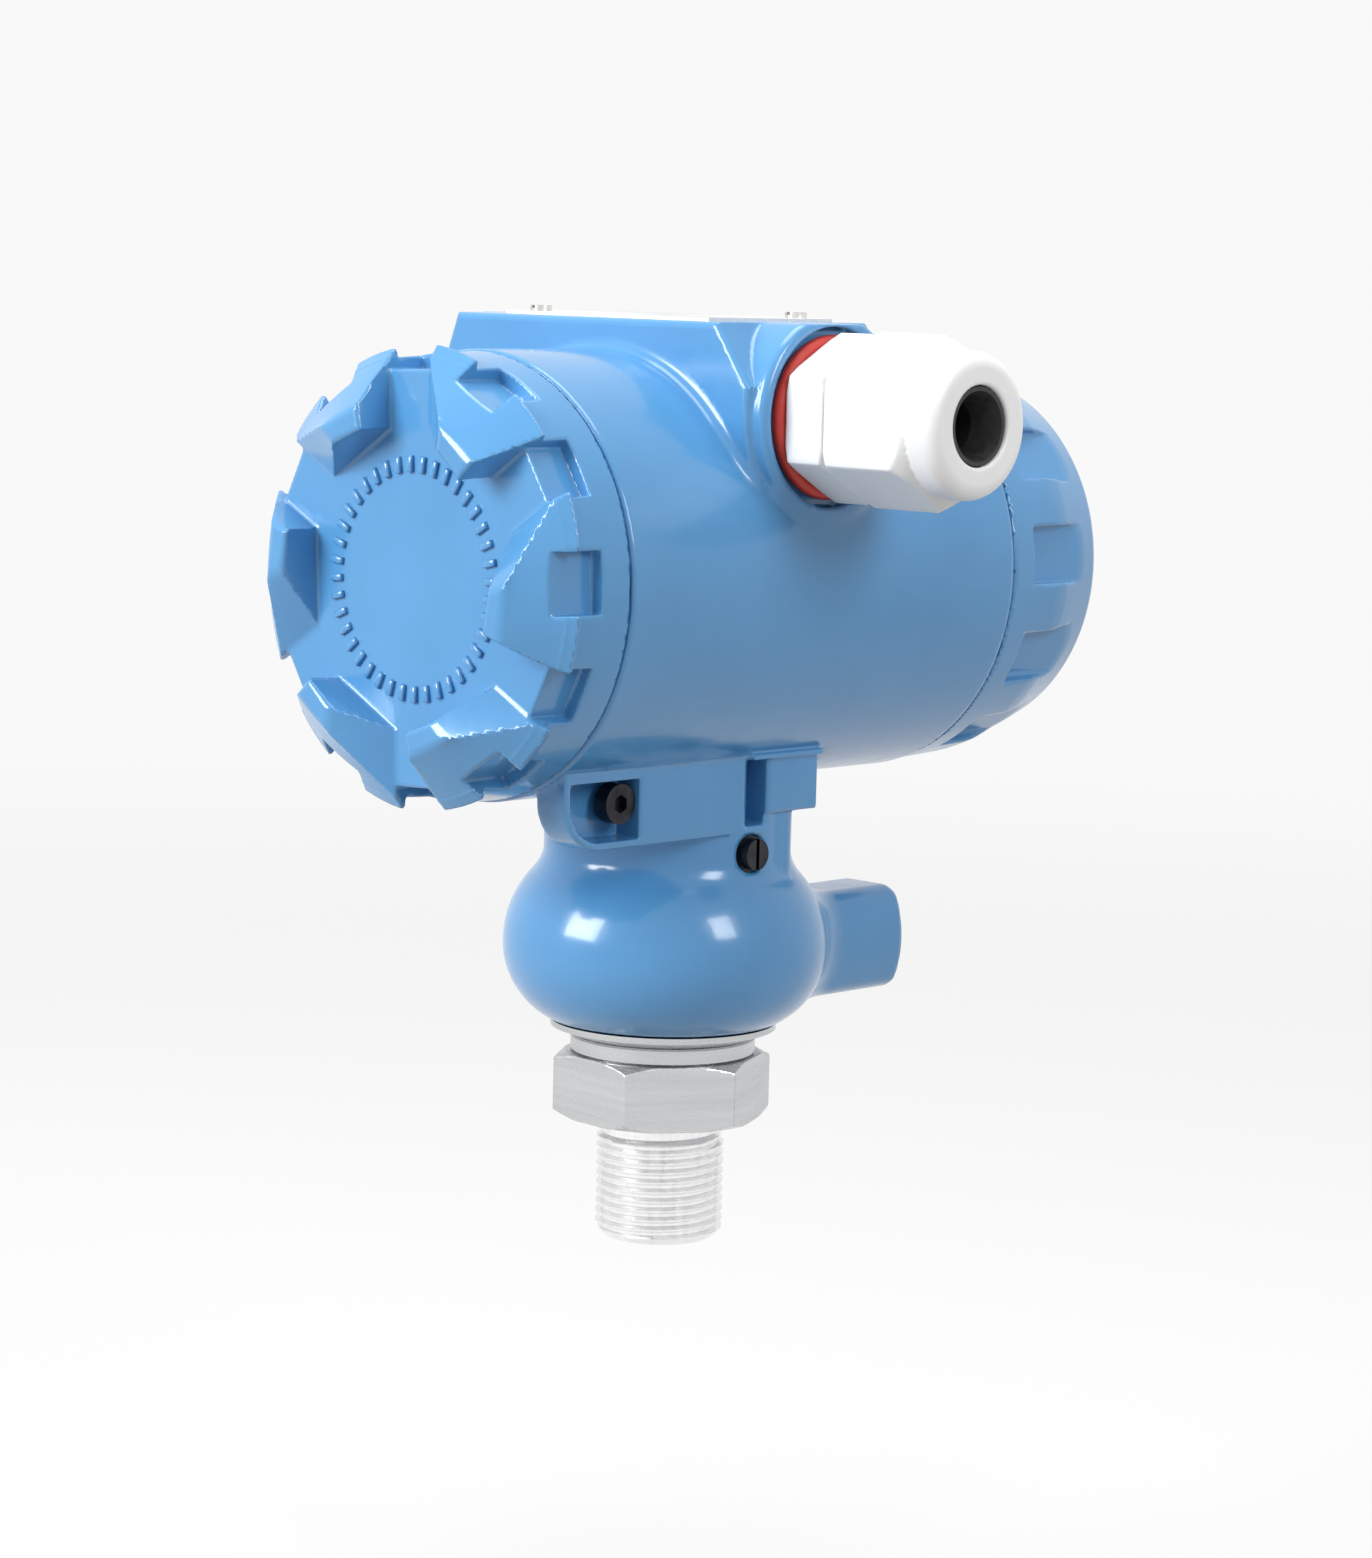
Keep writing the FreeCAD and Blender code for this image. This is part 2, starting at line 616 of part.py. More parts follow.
def lug_hollows():
    """Screw pocket, slot and tapped holes in the lug and neck."""
    floor = UNDER + " - lug_drop + lug_rim"
    corner = "(lug_corner - lug_rim)"
    front = LUG_FRONT + " + lug_rim"
    back = LUG_FRONT + " + pocket_length"
    points = [
        (front, UNDER + " + pocket_rise"),
        (front, floor + " + " + corner),
        (front + " + " + corner, floor, corner, 1),
        (back, floor),
        (back, UNDER + " + pocket_rise"),
    ]
    pocket = padded("screw_pocket", "X", points, "lug_face - pocket_depth", "lug_face + 2")
    slot = box(
        "lug_slot",
        ("lug_face - slot_depth", "slot_front", floor),
        ("lug_face + 2", "block_front", UNDER + " + lip_rise - lip_size"),
    )
    return [
        pocket,
        slot,
        rod("lock_bore", "X", "small_screw_shank", "lug_inner - 1", "lug_face", **LOCK_PLACE),
        rod("earth_spot", "X", "washer_radius + screw_clearance", "earth_flat", "neck_radius + 2",
            **EARTH_PLACE),
        rod("earth_bore", "X", "small_screw_shank", "earth_flat - screw_length", "earth_flat + 1",
            **EARTH_PLACE),
    ]


def inside_bores():
    """Blind holes for the plate screws and for the screws in the bulkhead."""
    top = BAR_TOP
    bores = [
        rod("plate_bore", "Z", "plate_screw_shank", top + " - plate_screw_length", top + " + 1",
            **plate_screw_place(side))
        for side in PLATE_SCREWS.values()
    ]
    bores += [
        rod("block_bore", "Y", "small_screw_shank", "bulkhead_face - 1",
            "bulkhead_face + bulkhead_wall / 2", **fixing_place(side))
        for side in FIXING_SIDES.values()
    ]
    bores.append(rod("inner_earth_bore", "Y", "small_screw_shank", "bulkhead_face - 1",
                     "bulkhead_face + bulkhead_wall / 2", x=CHAMBER + " - inner_earth_inset",
                     z=UP + "inner_earth_z"))
    return bores


def housing():
    """Barrel, conduit bar, neck, bulb, arm and lugs as one casting."""
    barrel = turned("barrel", "Y", [
        ("-barrel_half", "0"),
        ("-barrel_half", "barrel_radius - barrel_edge"),
        ("-barrel_half + barrel_edge", "barrel_radius"),
        ("barrel_half - barrel_edge", "barrel_radius"),
        ("barrel_half", "barrel_radius - barrel_edge"),
        ("barrel_half", "0"),
    ])
    move(barrel, z="axis_height")
    upper = fused("barrel_and_bar", [barrel, conduit_bar()])

    def bar_junction(edge, faces):
        on_barrel = [is_round(face, "barrel_radius", Y_AXIS) for face in faces]
        on_bar = [
            is_round(face, "bar_half_width", X_AXIS)
            or (isinstance(face.Surface, Part.Plane) and abs(face.Surface.Axis * Y_AXIS) > 0.999)
            for face in faces
        ]
        return any(on_barrel) and any(on_bar) and abs(edge.CenterOfMass.y) < number("barrel_half") - 2

    upper = rounded("upper_soft", upper, "junction_round", bar_junction)
    lower = fused("bulb_and_arm", [bulb(), bracket_arm()])

    def arm_junction(edge, faces):
        swept = [not isinstance(face.Surface, Part.Plane) and face.BoundBox.YMin < 0 for face in faces]
        middle = edge.CenterOfMass
        below = middle.z < number(BULB_TOP + " - 1")
        return len(faces) == 2 and sum(swept) == 1 and middle.y > number("neck_radius / 2") and below

    lower = rounded("lower_soft", lower, "arm_blend", arm_junction)
    solid = fused("casting_solid", [upper, lower, lock_lug()])
    middle = UP + ENTRY_RISE
    tools = [
        rod("front_chamber", "Y", CHAMBER, "-barrel_half - 1", "bulkhead_face", z="axis_height"),
        rod("rear_chamber", "Y", CHAMBER, "bulkhead_face + bulkhead_wall", "barrel_half + 1",
            z="axis_height"),
        rod("feed_hole", "Y", "feed_radius", "bulkhead_face - 1", "bulkhead_face + bulkhead_wall + 1",
            z=DOWN + "feed_drop"),
        rod("neck_passage", "Z", "neck_bore", BULB_FOOT, DOWN + CHAMBER + " / 2"),
        rod("socket", "Z", "socket_radius", BULB_FOOT + " - 1", BULB_FOOT + " + socket_depth"),
    ]
    for side, face in FACES.items():
        low, high = span(side, "entry_start", face + " + 1")
        tools.append(rod("entry", "X", "entry_radius", low, high, z=middle))
        low, high = span(side, face + " - hub_recess_depth", face + " + 1")
        tools.append(rod("entry_recess", "X", "hub_recess_radius", low, high, z=middle))
    for side in (1, -1):
        tools.append(rod("bracket_hole", "Y", "bracket_hole_radius", "arm_end - bracket_hole_depth",
                         "arm_end + 1", z=ARM_LEVEL + " + %d * bracket_spacing / 2" % side))
    node(cut("casting", solid, tools + lug_hollows() + inside_bores()), "housing")



# Features inside a body

def across(body, name, points, offset, length, outward, adds):
    """Pad or pocket across the barrel axis, from a sketch at an offset towards the front."""
    sketch = outline(body, "XZ_Plane", points, offset)
    kind = "PartDesign::Pad" if adds else "PartDesign::Pocket"
    feature = body.newObject(kind, name)
    feature.Profile = sketch
    feature.Reversed = outward != adds
    bind(feature, Length=length)
    body.Tip = feature
    return feature


def around(body, name, feature, count):
    """Repeat a feature evenly about the barrel axis."""
    pattern = body.newObject("PartDesign::PolarPattern", name)
    pattern.Originals = [feature]
    pattern.Axis = (plane(body, "Y_Axis"), [""])
    pattern.Angle = 360
    pattern.Occurrences = count
    body.Tip = pattern
    return pattern


def rectangle(x_low, x_high, z_half):
    """Rectangle that is even about the sketch's own X axis."""
    return [(x_low, "-" + z_half), (x_high, "-" + z_half), (x_high, z_half), (x_low, z_half)]


# Covers

SEAM = "(barrel_half + seam_gap)"
SCREW = "(%s - cover_clearance)" % CHAMBER
GROOVE_FLOOR = "(%s - 2 * ring_radius)" % SCREW


def cover_blank(name, side, end, outer):
    """Cup with a screwed spigot, a seal groove and the given outer points."""
    groove_end = "barrel_half - 2 * ring_radius"
    thread_end = "barrel_half - cover_thread_length"
    points = [(signed(side, end + " - cover_wall"), "0"), (signed(side, end), "0")]
    points += [(signed(side, point[0]),) + point[1:] for point in outer]
    points += [
        (signed(side, SEAM), COVER_SEAM),
        (signed(side, SEAM), GROOVE_FLOOR),
        (signed(side, groove_end), GROOVE_FLOOR),
        (signed(side, groove_end), SCREW),
        (signed(side, thread_end), SCREW),
        (signed(side, thread_end), COVER_INSIDE),
        (signed(side, end + " - cover_wall"), COVER_INSIDE),
    ]
    body = turned(name, "Y", points)
    body.Placement = FreeCAD.Placement(FreeCAD.Vector(), FreeCAD.Rotation(FreeCAD.Vector(0, -1, 0), 1))
    bind(body, **{"Placement.Rotation.Angle": name + "_turn"})
    return move(body, z="axis_height")


def grip_lugs(body, face):
    """Six skewed grip lugs between the spokes of the front cover."""
    half_side = "(hexagon_flat / 2 - spoke_half_width) * 2 / sqrt(3)"
    reach = "sqrt(%s^2 - spoke_half_width^2)" % COVER_RIM
    rim_x = "%s * sqrt(3) / 2 + spoke_half_width / 2" % reach
    rim_z = "%s / 2 - spoke_half_width * sqrt(3) / 2" % reach
    base = outline(body, "XZ_Plane", [
        ("hexagon_flat", "-(%s)" % half_side),
        (rim_x, "-(%s)" % rim_z),
        (rim_x, rim_z, COVER_RIM, 1),
        ("hexagon_flat", half_side),
    ], face)
    top = outline(body, "XZ_Plane", [
        ("grip_inner_cw", "-reach_inner_cw"),
        ("grip_outer_cw", "-reach_outer_cw"),
        ("grip_outer_ccw", "-reach_outer_ccw"),
        ("grip_inner_ccw", "-reach_inner_ccw"),
    ], face + " + lug_height")
    grip = body.newObject("PartDesign::AdditiveLoft", "grip")
    grip.Profile = base
    grip.Sections = [(top, [""])]
    grip.Ruled = True
    body.Tip = grip
    around(body, "grips", grip, GRIPS)


NOTCH_SHAPE = rectangle(COVER_RIM + " - notch_depth", COVER_SEAM + " + 2", "notch_width / 2")


def front_cover():
    """Blind cover with a plain face, six grip lugs, twelve rim notches and a ring of ticks."""
    face = "barrel_half + front_skirt"
    body = cover_blank("front_cover", -1, face, [(face, COVER_RIM)])
    grip_lugs(body, face)
    notch = across(body, "notch", NOTCH_SHAPE, face + " + lug_height + 1",
                   "lug_height + 1 + notch_length", False, False)
    around(body, "notches", notch, NOTCHES)
    tick = across(body, "tick", rectangle("tick_radius", "tick_radius + tick_length", "tick_width / 2"),
                  face, "tick_height", True, True)
    around(body, "ticks", tick, TICKS)
    node(body, "front_cover")


def rear_cover():
    """Deeper blind cover: the same notched skirt under a tapered, rounded crown."""
    ridge = "barrel_half + rear_skirt"
    end = ridge + " + crown_length"
    body = cover_blank("rear_cover", 1, end, [
        (end, CROWN_END + " - crown_round"),
        (end + " - crown_round", CROWN_END, "crown_round", 1),
        (ridge, COVER_RIM),
    ])
    notch = across(body, "rear_notch", NOTCH_SHAPE, "-(%s + 1)" % end,
                   "crown_length + 1 + rear_notch_length", True, False)
    around(body, "rear_notches", notch, NOTCHES)
    slot = across(body, "relief_slot", rectangle("0", CROWN_END + " + 3", "spoke_half_width"),
                  "-(%s)" % end, "relief_depth", True, False)
    around(body, "relief_slots", slot, GRIPS)
    corner = "(hexagon_flat * 2 / sqrt(3))"
    turns = [math.radians(60 * step) for step in range(6)]
    hexagon_points = [
        ("%.6f * %s" % (math.cos(turn), corner), "%.6f * %s" % (math.sin(turn), corner)) for turn in turns
    ]
    across(body, "relief_middle", hexagon_points, "-(%s)" % end, "relief_depth", True, False)
    node(body, "rear_cover")


def cover_seals():
    """Seal at the root of each cover's thread."""
    for side, label in ((-1, "front_cover_seal"), (1, "rear_cover_seal")):
        node(ring(label, "Y", "%s - ring_radius" % SCREW, "ring_radius",
                  y=signed(side, SEAM + " - ring_radius - fit_clearance"), z="axis_height"), label)


# Cable entries

ENTRY = UP + ENTRY_RISE
COLLAR_END = "(%s + gland_lift + gland_hex + gland_collar)" % GLAND
NUT_START = "(%s + gland_lift + gland_hex + nut_gap)" % GLAND
NUT_END = "(%s + nut_hex + nut_dome)" % NUT_START


def chamfered_hexagon(name, axis, flats, low, high, chamfer, **place):
    """Hexagonal bar whose corners are turned off at both ends."""
    bar = hexagon(name + "_bar", axis, flats, low, high, **place)
    corner = "(%s) / sqrt(3)" % flats
    shape = turned(name + "_envelope", axis, [
        (low, "0"),
        (low, "%s - 2 * %s" % (corner, chamfer)),
        ("%s + %s" % (low, chamfer), corner),
        ("%s - %s" % (high, chamfer), corner),
        (high, "%s - 2 * %s" % (corner, chamfer)),
        (high, "0"),
    ])
    move(shape, **place)
    return shared(name, bar, shape)


def gland():
    """Cable gland: body, red ring, rubber seal, claw ring and dome nut."""
    low = GLAND + " + gland_lift"
    high = low + " + gland_hex"
    solid = fused("gland_solid", [
        chamfered_hexagon("gland_hexagon", "X", "gland_flats", low, high, "0.5", z=ENTRY),
        rod("gland_spigot_rod", "X", "entry_radius - fit_clearance", GLAND + " - gland_spigot", high,
            z=ENTRY),
        rod("gland_collar_rod", "X", "gland_collar_radius", low, COLLAR_END, z=ENTRY),
    ])
    tools = [
        rod("gland_passage", "X", "gland_bore", GLAND + " - gland_spigot - 1", COLLAR_END + " + 1",
            z=ENTRY),
        rod("seal_seat_bore", "X", "seal_radius + screw_clearance", COLLAR_END + " - seal_seat",
            COLLAR_END + " + 1", z=ENTRY),
    ]
    node(cut("gland_body_cut", solid, tools), "gland_body")
    node(ring("gland_ring", "X", "entry_radius + gland_ring_radius + fit_clearance", "gland_ring_radius",
              x=GLAND + " - hub_recess_depth + gland_ring_radius + fit_clearance", z=ENTRY), "gland_ring")
    inside = NUT_END + " - nut_wall - screw_clearance"
    nose = NUT_END + " - seal_bore / 7"
    node(move(turned("gland_seal", "X", [
        (COLLAR_END + " - seal_seat + screw_clearance", "seal_bore"),
        (COLLAR_END + " - seal_seat + screw_clearance", "seal_radius"),
        (inside, "seal_radius"),
        (inside, "nut_mouth - screw_clearance"),
        (nose, "nut_mouth - screw_clearance"),
        (nose, "nut_mouth - 4 * screw_clearance"),
        (nose + " - seal_funnel", "seal_bore"),
    ]), z=ENTRY), "gland_seal")
    node(move(turned("gland_claw", "X", [
        (COLLAR_END + " + screw_clearance", "seal_radius + fit_clearance"),
        (COLLAR_END + " + screw_clearance", "claw_radius"),
        (inside, "claw_radius"),
        (inside, "seal_radius + fit_clearance"),
    ]), z=ENTRY), "gland_claw")
    corner = "nut_flats / sqrt(3)"
    envelope = move(turned("nut_envelope", "X", [
        (NUT_START, "0"),
        (NUT_START, corner + " - 1"),
        (NUT_START + " + 0.6", corner),
        (NUT_START + " + nut_hex", corner),
        (NUT_START + " + nut_hex + 2.4", "nut_dome_radius + 0.2"),
        (NUT_END + " - nut_round", "nut_dome_radius"),
        (NUT_END, "nut_dome_radius - nut_round", "nut_round", -1),
        (NUT_END, "0"),
    ]), z=ENTRY)
    bar = hexagon("nut_bar", "X", "nut_flats", NUT_START, NUT_END + " + 1", z=ENTRY)
    tools = [
        rod("nut_thread", "X", "gland_collar_radius + screw_clearance", NUT_START + " - 1",
            NUT_END + " - nut_wall", z=ENTRY),
        rod("nut_opening", "X", "nut_mouth", NUT_START, NUT_END + " + 1", z=ENTRY),
    ]
    node(cut("gland_nut_cut", shared("nut_blank", envelope, bar), tools), "gland_nut")


def blanking_plug():
    """Hexagonal plug and its ring in the unused entry."""
    low = "-(%s + gland_lift + plug_head)" % PLUG
    high = "-(%s + gland_lift)" % PLUG
    node(fused("plug_solid", [
        chamfered_hexagon("plug_hexagon", "X", "plug_flats", low, high, "0.5", z=ENTRY),
        rod("plug_rod", "X", "entry_radius - screw_clearance", low, "-(%s - plug_spigot)" % PLUG,
            z=ENTRY),
    ]), "blanking_plug")
    node(ring("plug_ring", "X", "entry_radius + gland_ring_radius + fit_clearance", "gland_ring_radius",
              x="-(%s - hub_recess_depth + gland_ring_radius + fit_clearance)" % PLUG, z=ENTRY),
         "plug_ring")


# Screws and plate

def screw(label, axis, head, seat, side, x="0", y="0", z="0", shank="small_screw_shank",
          length="screw_length", height="screw_head_height", socket=None):
    """Headed screw whose head stands on its seat towards a side, with a slot or a hexagon socket."""
    place = {"x": x, "y": y, "z": z}

    def stretch(near, far):
        """Span along the screw, measured from the seat towards the head."""
        low, high = (near, far) if side > 0 else (far, near)
        return ["%s + %d * (%s)" % (seat, side, reach) for reach in (low, high)]

    low, high = stretch("0", height)
    first, last = stretch("-(%s)" % length, "0")
    near, far = stretch("(%s) / 2" % height, "(%s) + 1" % height)
    solid = fused(label + "_solid", [
        rod(label + "_head", axis, head, low, high, **place),
        rod(label + "_shank", axis, "%s - fit_clearance" % shank, first, last, **place),
    ])
    if socket:
        tool = hexagon(label + "_socket", axis, socket, near, far, **place)
    else:
        thin = "Y" if axis == "X" else "X"
        spans = []
        for letter in "XYZ":
            reach = "slot_half" if letter == thin else head + " + 1"
            middle = place[letter.lower()]
            wide = ("%s - (%s)" % (middle, reach), "%s + (%s)" % (middle, reach))
            spans.append((near, far) if letter == axis else wide)
        tool = box(label + "_slot", [span[0] for span in spans], [span[1] for span in spans])
    return node(cut(label + "_cut", solid, [tool]), label)


PLATE_SCREWS = {"plate_screw_front": -1, "plate_screw_rear": 1}


def plate_screw_place(side):
    """Where a nameplate screw stands."""
    return {
        "x": "plate_shift + %d * plate_screw_x" % side,
        "y": "%d * plate_screw_y" % side,
    }


def nameplate():
    """Bare plate on the bar, held by two screws on one diagonal."""
    top = BAR_TOP
    plate = box("plate_blank", ("plate_shift - plate_length / 2", "-plate_width / 2", top),
                ("plate_shift + plate_length / 2", "plate_width / 2", top + " + plate_thick"))
    holes = [
        rod("plate_hole", "Z", "plate_screw_shank", top + " - 1", top + " + 2", **plate_screw_place(side))
        for side in PLATE_SCREWS.values()
    ]
    node(cut("plate_cut", plate, holes), "nameplate")
    for label, side in PLATE_SCREWS.items():
        screw(label, "Z", "plate_screw_head", top + " + plate_thick", 1, shank="plate_screw_shank",
              length="plate_screw_length", height="0.9", **plate_screw_place(side))


LOCK_PLACE = {"y": LUG_FRONT + " + lock_screw_inset", "z": UNDER + " + lock_screw_rise"}
EARTH_PLACE = {"y": "earth_screw_y", "z": UNDER + " - earth_screw_drop"}
LOCK_HEAD = "(screw_head_height + 1)"
LOCK_SEAT = "lug_face - lock_screw_sink - %s" % LOCK_HEAD


def outer_screws():
    """Cover lock screw in its pocket, and the earth screw with its washer on the neck."""
    screw("lock_screw", "X", "lock_screw_head", LOCK_SEAT, 1, height=LOCK_HEAD,
          length=LOCK_SEAT + " - lug_inner - screw_clearance", socket="2.5", **LOCK_PLACE)
    washer = rod("washer_blank", "X", "washer_radius", "earth_flat", "earth_flat + washer_thick",
                 **EARTH_PLACE)
    hole = rod("washer_hole", "X", "small_screw_shank", "earth_flat - 1", "earth_flat + 2", **EARTH_PLACE)
    node(cut("washer_cut", washer, [hole]), "earth_washer")
    screw("earth_screw", "X", "small_screw_head", "earth_flat + washer_thick", 1, **EARTH_PLACE)


# Sensor

CONE_FOOT = "(hex_height + ring_stand)"
STEM_TOP = "(%s + stem_height)" % CONE_FOOT
CAPSULE_FOOT = "(%s + 2 * capsule_ring)" % STEM_TOP
CAPSULE_TOP = "(%s + capsule_height)" % CAPSULE_FOOT


def process_connector():
    """Hexagon, thread, ring and stem in one turned piece with the pressure port through it."""
    core = turned("connector_core", "Z", [
        ("-thread_length", "0"),
        ("-thread_length", "thread_radius - thread_chamfer"),
        ("-thread_length + thread_chamfer", "thread_radius"),
        ("hex_height / 2", "thread_radius"),
        ("hex_height / 2", "ring_outer"),
        (CONE_FOOT + " - 0.4", "ring_outer"),
        (CONE_FOOT, "ring_outer - 0.4"),
        (CONE_FOOT, "collar_bore - fit_clearance"),
        (STEM_TOP, "collar_bore - fit_clearance"),
        (STEM_TOP, "0"),
    ])
    head = chamfered_hexagon("connector_hexagon", "Z", "hex_flats", "0", "hex_height", "1.0")
    bar = doc.getObject("connector_hexagon_bar")
    bar.Placement = FreeCAD.Placement(FreeCAD.Vector(), FreeCAD.Rotation(Z_AXIS, 1))
    bind(bar, **{"Placement.Rotation.Angle": "hex_turn"})
    port = rod("pressure_port", "Z", "port_radius", "-thread_length - 1", STEM_TOP + " + 1")
    node(cut("connector_cut", fused("connector_solid", [core, head]), [port]), "process_connector")


def sensor_stack():
    """Collar in the bulb, and the capsule, its seal and retaining ring inside it."""
    node(turned("sensor_collar", "Z", [
        (CONE_FOOT, "collar_bore"),
        (CONE_FOOT, "flange_waist"),
        (BULB_FOOT + " - 0.9", "flange_radius"),
        (BULB_FOOT, "flange_radius"),
        (BULB_FOOT, "socket_radius - fit_clearance"),
        (BULB_FOOT + " + collar_top", "socket_radius - fit_clearance"),
        (BULB_FOOT + " + collar_top", "collar_bore"),
    ]), "sensor_collar")
    node(ring("capsule_seal", "Z", "capsule_radius - 2 * capsule_ring", "capsule_ring",
              z=STEM_TOP + " + capsule_ring"), "capsule_seal")
    node(rod("sensor_capsule", "Z", "capsule_radius", CAPSULE_FOOT, CAPSULE_TOP), "sensor_capsule")
    node(turned("capsule_retainer", "Z", [
        (CAPSULE_TOP, "capsule_radius - 3"),
        (CAPSULE_TOP, "collar_bore - fit_clearance"),
        (CAPSULE_TOP + " + retainer_height", "collar_bore - fit_clearance"),
        (CAPSULE_TOP + " + retainer_height", "capsule_radius - 3"),
    ]), "capsule_retainer")


# Electronics

BOARD_FACE = "(bulkhead_face + bulkhead_wall + post_height)"
BOARD_BACK = "(%s + board_thick)" % BOARD_FACE
FEED = DOWN + "feed_drop"
PLUG_DEPTH = "5"


def sensor_leads():
    """Bundle of leads from the capsule, up the neck and through the bulkhead, and its plug."""
    corner = ring("lead_corner", "X", "lead_bend", "lead_radius", y="lead_bend", z=FEED + " - lead_bend")
    corner.Placement = FreeCAD.Placement(corner.Placement.Base, TURNS["X"] * FreeCAD.Rotation(Z_AXIS, 180))
    corner.Angle3 = 90
    node(fused("lead_solid", [
        rod("lead_rise", "Z", "lead_radius", CAPSULE_TOP, FEED + " - lead_bend"),
        corner,
        rod("lead_run", "Y", "lead_radius", "lead_bend", BOARD_FACE + " - " + PLUG_DEPTH, z=FEED),
    ]), "sensor_leads")
    node(box("lead_plug", ("-plug_half", BOARD_FACE + " - " + PLUG_DEPTH, FEED + " - plug_half / 2"),
             ("plug_half", BOARD_FACE, FEED + " + plug_half / 2")), "lead_plug")


def post_places():
    """Places of the board's standoffs, evenly around the barrel axis."""
    places = []
    for step in range(POSTS):
        angle = math.radians(90 + 360 / POSTS * step)
        places.append({
            "x": "%.6f * %s" % (math.cos(angle), POST_CIRCLE),
            "z": "axis_height + %.6f * %s" % (math.sin(angle), POST_CIRCLE),
        })
    return places


def electronics():
    """Circuit board with its larger components, standoffs and screws."""
    face = BOARD_BACK
    blank = fused("board_solid", [
        rod("board_disc", "Y", BOARD_RADIUS, BOARD_FACE, face, z="axis_height"),
        box("processor", ("-chip_half", face, UP + "chip_rise - chip_half"),
            ("chip_half", face + " + chip_height", UP + "chip_rise + chip_half")),
        box("plug_strip", ("-strip_half", face, DOWN + "strip_drop - strip_height / 2"),
            ("strip_half", face + " + strip_height", DOWN + "strip_drop + strip_height / 2")),
        rod("capacitor", "Y", "capacitor_radius", face, face + " + capacitor_height",
            x="-capacitor_reach", z=UP + "capacitor_rise"),
        rod("small_capacitor", "Y", "small_capacitor_radius", face, face + " + small_capacitor_height",
            x="capacitor_reach", z=UP + "capacitor_rise"),
    ])
    holes = []
    for step, place in enumerate(post_places(), 1):
        post = rod("post_blank", "Y", "post_radius", "bulkhead_face + bulkhead_wall", BOARD_FACE, **place)
        bore = rod("post_bore", "Y", "small_screw_shank", BOARD_FACE + " - screw_length",
                   BOARD_FACE + " + 1", **place)
        node(cut("post_cut", post, [bore]), "board_post_%d" % step)
        holes.append(rod("board_hole", "Y", "small_screw_shank", BOARD_FACE + " - 1", BOARD_BACK + " + 1",
                         **place))
        screw("board_screw_%d" % step, "Y", "small_screw_head", BOARD_BACK, 1, **place)
    node(cut("board_cut", blank, holes), "circuit_board")


TERMINAL_FACE = "(bulkhead_face - terminal_depth)"
WELL_FLOOR = "(%s + well_depth)" % TERMINAL_FACE
PLATE_THICK = "1.2"
TERMINAL_LEVEL = UP + "(terminal_low + terminal_high) / 2 + 1"
FIXING_SIDES = {"fixing_screw_left": -1, "fixing_screw_right": 1}


def fixing_place(side):
    """Where a terminal block screw stands."""
    return {"x": "%d * (%s - fixing_inset)" % (side, TERMINAL_HALF), "z": UP + "fixing_z"}


def terminals():
    """Terminal block on the bulkhead with its plates and screws."""
    block = box("block_blank", ("-" + TERMINAL_HALF, TERMINAL_FACE, UP + "terminal_low"),
                (TERMINAL_HALF, "bulkhead_face", UP + "terminal_high"))
    tools = []
    for step in range(TERMINALS):
        middle = "(%d * terminal_pitch)" % (step - (TERMINALS - 1) // 2)
        plate_seat = "%s - %s" % (WELL_FLOOR, PLATE_THICK)
        well_side = middle + " - well_half"
        well_low = TERMINAL_LEVEL + " - well_half"
        tools.append(box("well", (well_side, TERMINAL_FACE + " - 1", well_low),
                         (middle + " + well_half", WELL_FLOOR, UP + "terminal_high + 1")))
        tools.append(rod("well_bore", "Y", "small_screw_shank", WELL_FLOOR + " - 1",
                         WELL_FLOOR + " + screw_length", x=middle, z=TERMINAL_LEVEL))
        plate = box("terminal_plate_blank",
                    (well_side + " + screw_clearance", plate_seat, well_low + " + screw_clearance"),
                    (middle + " + well_half - screw_clearance", WELL_FLOOR,
                     TERMINAL_LEVEL + " + well_half"))
        hole = rod("plate_bore", "Y", "small_screw_shank", plate_seat + " - 1", WELL_FLOOR + " + 1",
                   x=middle, z=TERMINAL_LEVEL)
        node(cut("terminal_plate_cut", plate, [hole]), "terminal_plate_%d" % (step + 1))
        screw("terminal_screw_%d" % (step + 1), "Y", "small_screw_head", plate_seat, -1, x=middle,
              z=TERMINAL_LEVEL)
    for label, side in FIXING_SIDES.items():
        tools.append(rod("fixing_sink", "Y", "small_screw_head + screw_clearance", TERMINAL_FACE + " - 1",
                         WELL_FLOOR, **fixing_place(side)))
        tools.append(rod("fixing_bore", "Y", "small_screw_shank", WELL_FLOOR + " - 1",
                         "bulkhead_face + 1", **fixing_place(side)))
        screw(label, "Y", "small_screw_head", WELL_FLOOR, -1,
              length="terminal_depth - well_depth + bulkhead_wall / 2", **fixing_place(side))
    node(cut("block_cut", block, tools), "terminal_block")
    screw("inner_earth_screw", "Y", "small_screw_head", "bulkhead_face", -1, length="bulkhead_wall / 2",
          x=CHAMBER + " - inner_earth_inset", z=UP + "inner_earth_z")


fill_sheet()
housing()
front_cover()
rear_cover()
cover_seals()
gland()
blanking_plug()
nameplate()
outer_screws()
process_connector()
sensor_stack()
sensor_leads()
electronics()
terminals()
doc.recompute()
for item in doc.Objects:
    if "Invalid" in item.State or "Error" in item.State:
        raise SystemExit("bad object %s (%s): %s" % (item.Name, item.Label, item.State))
os.makedirs("parts", exist_ok=True)
for item in nodes:
    if item.Shape.isNull() or not item.Shape.isValid():
        raise SystemExit("bad shape %s" % item.Label)
    item.Shape.exportStep("parts/%s.step" % item.Label)
    print(item.Label, len(item.Shape.Solids), round(item.Shape.Volume, 1), item.Shape.BoundBox)
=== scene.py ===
"""Pressure transmitter: the dressed model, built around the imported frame."""
from __future__ import annotations

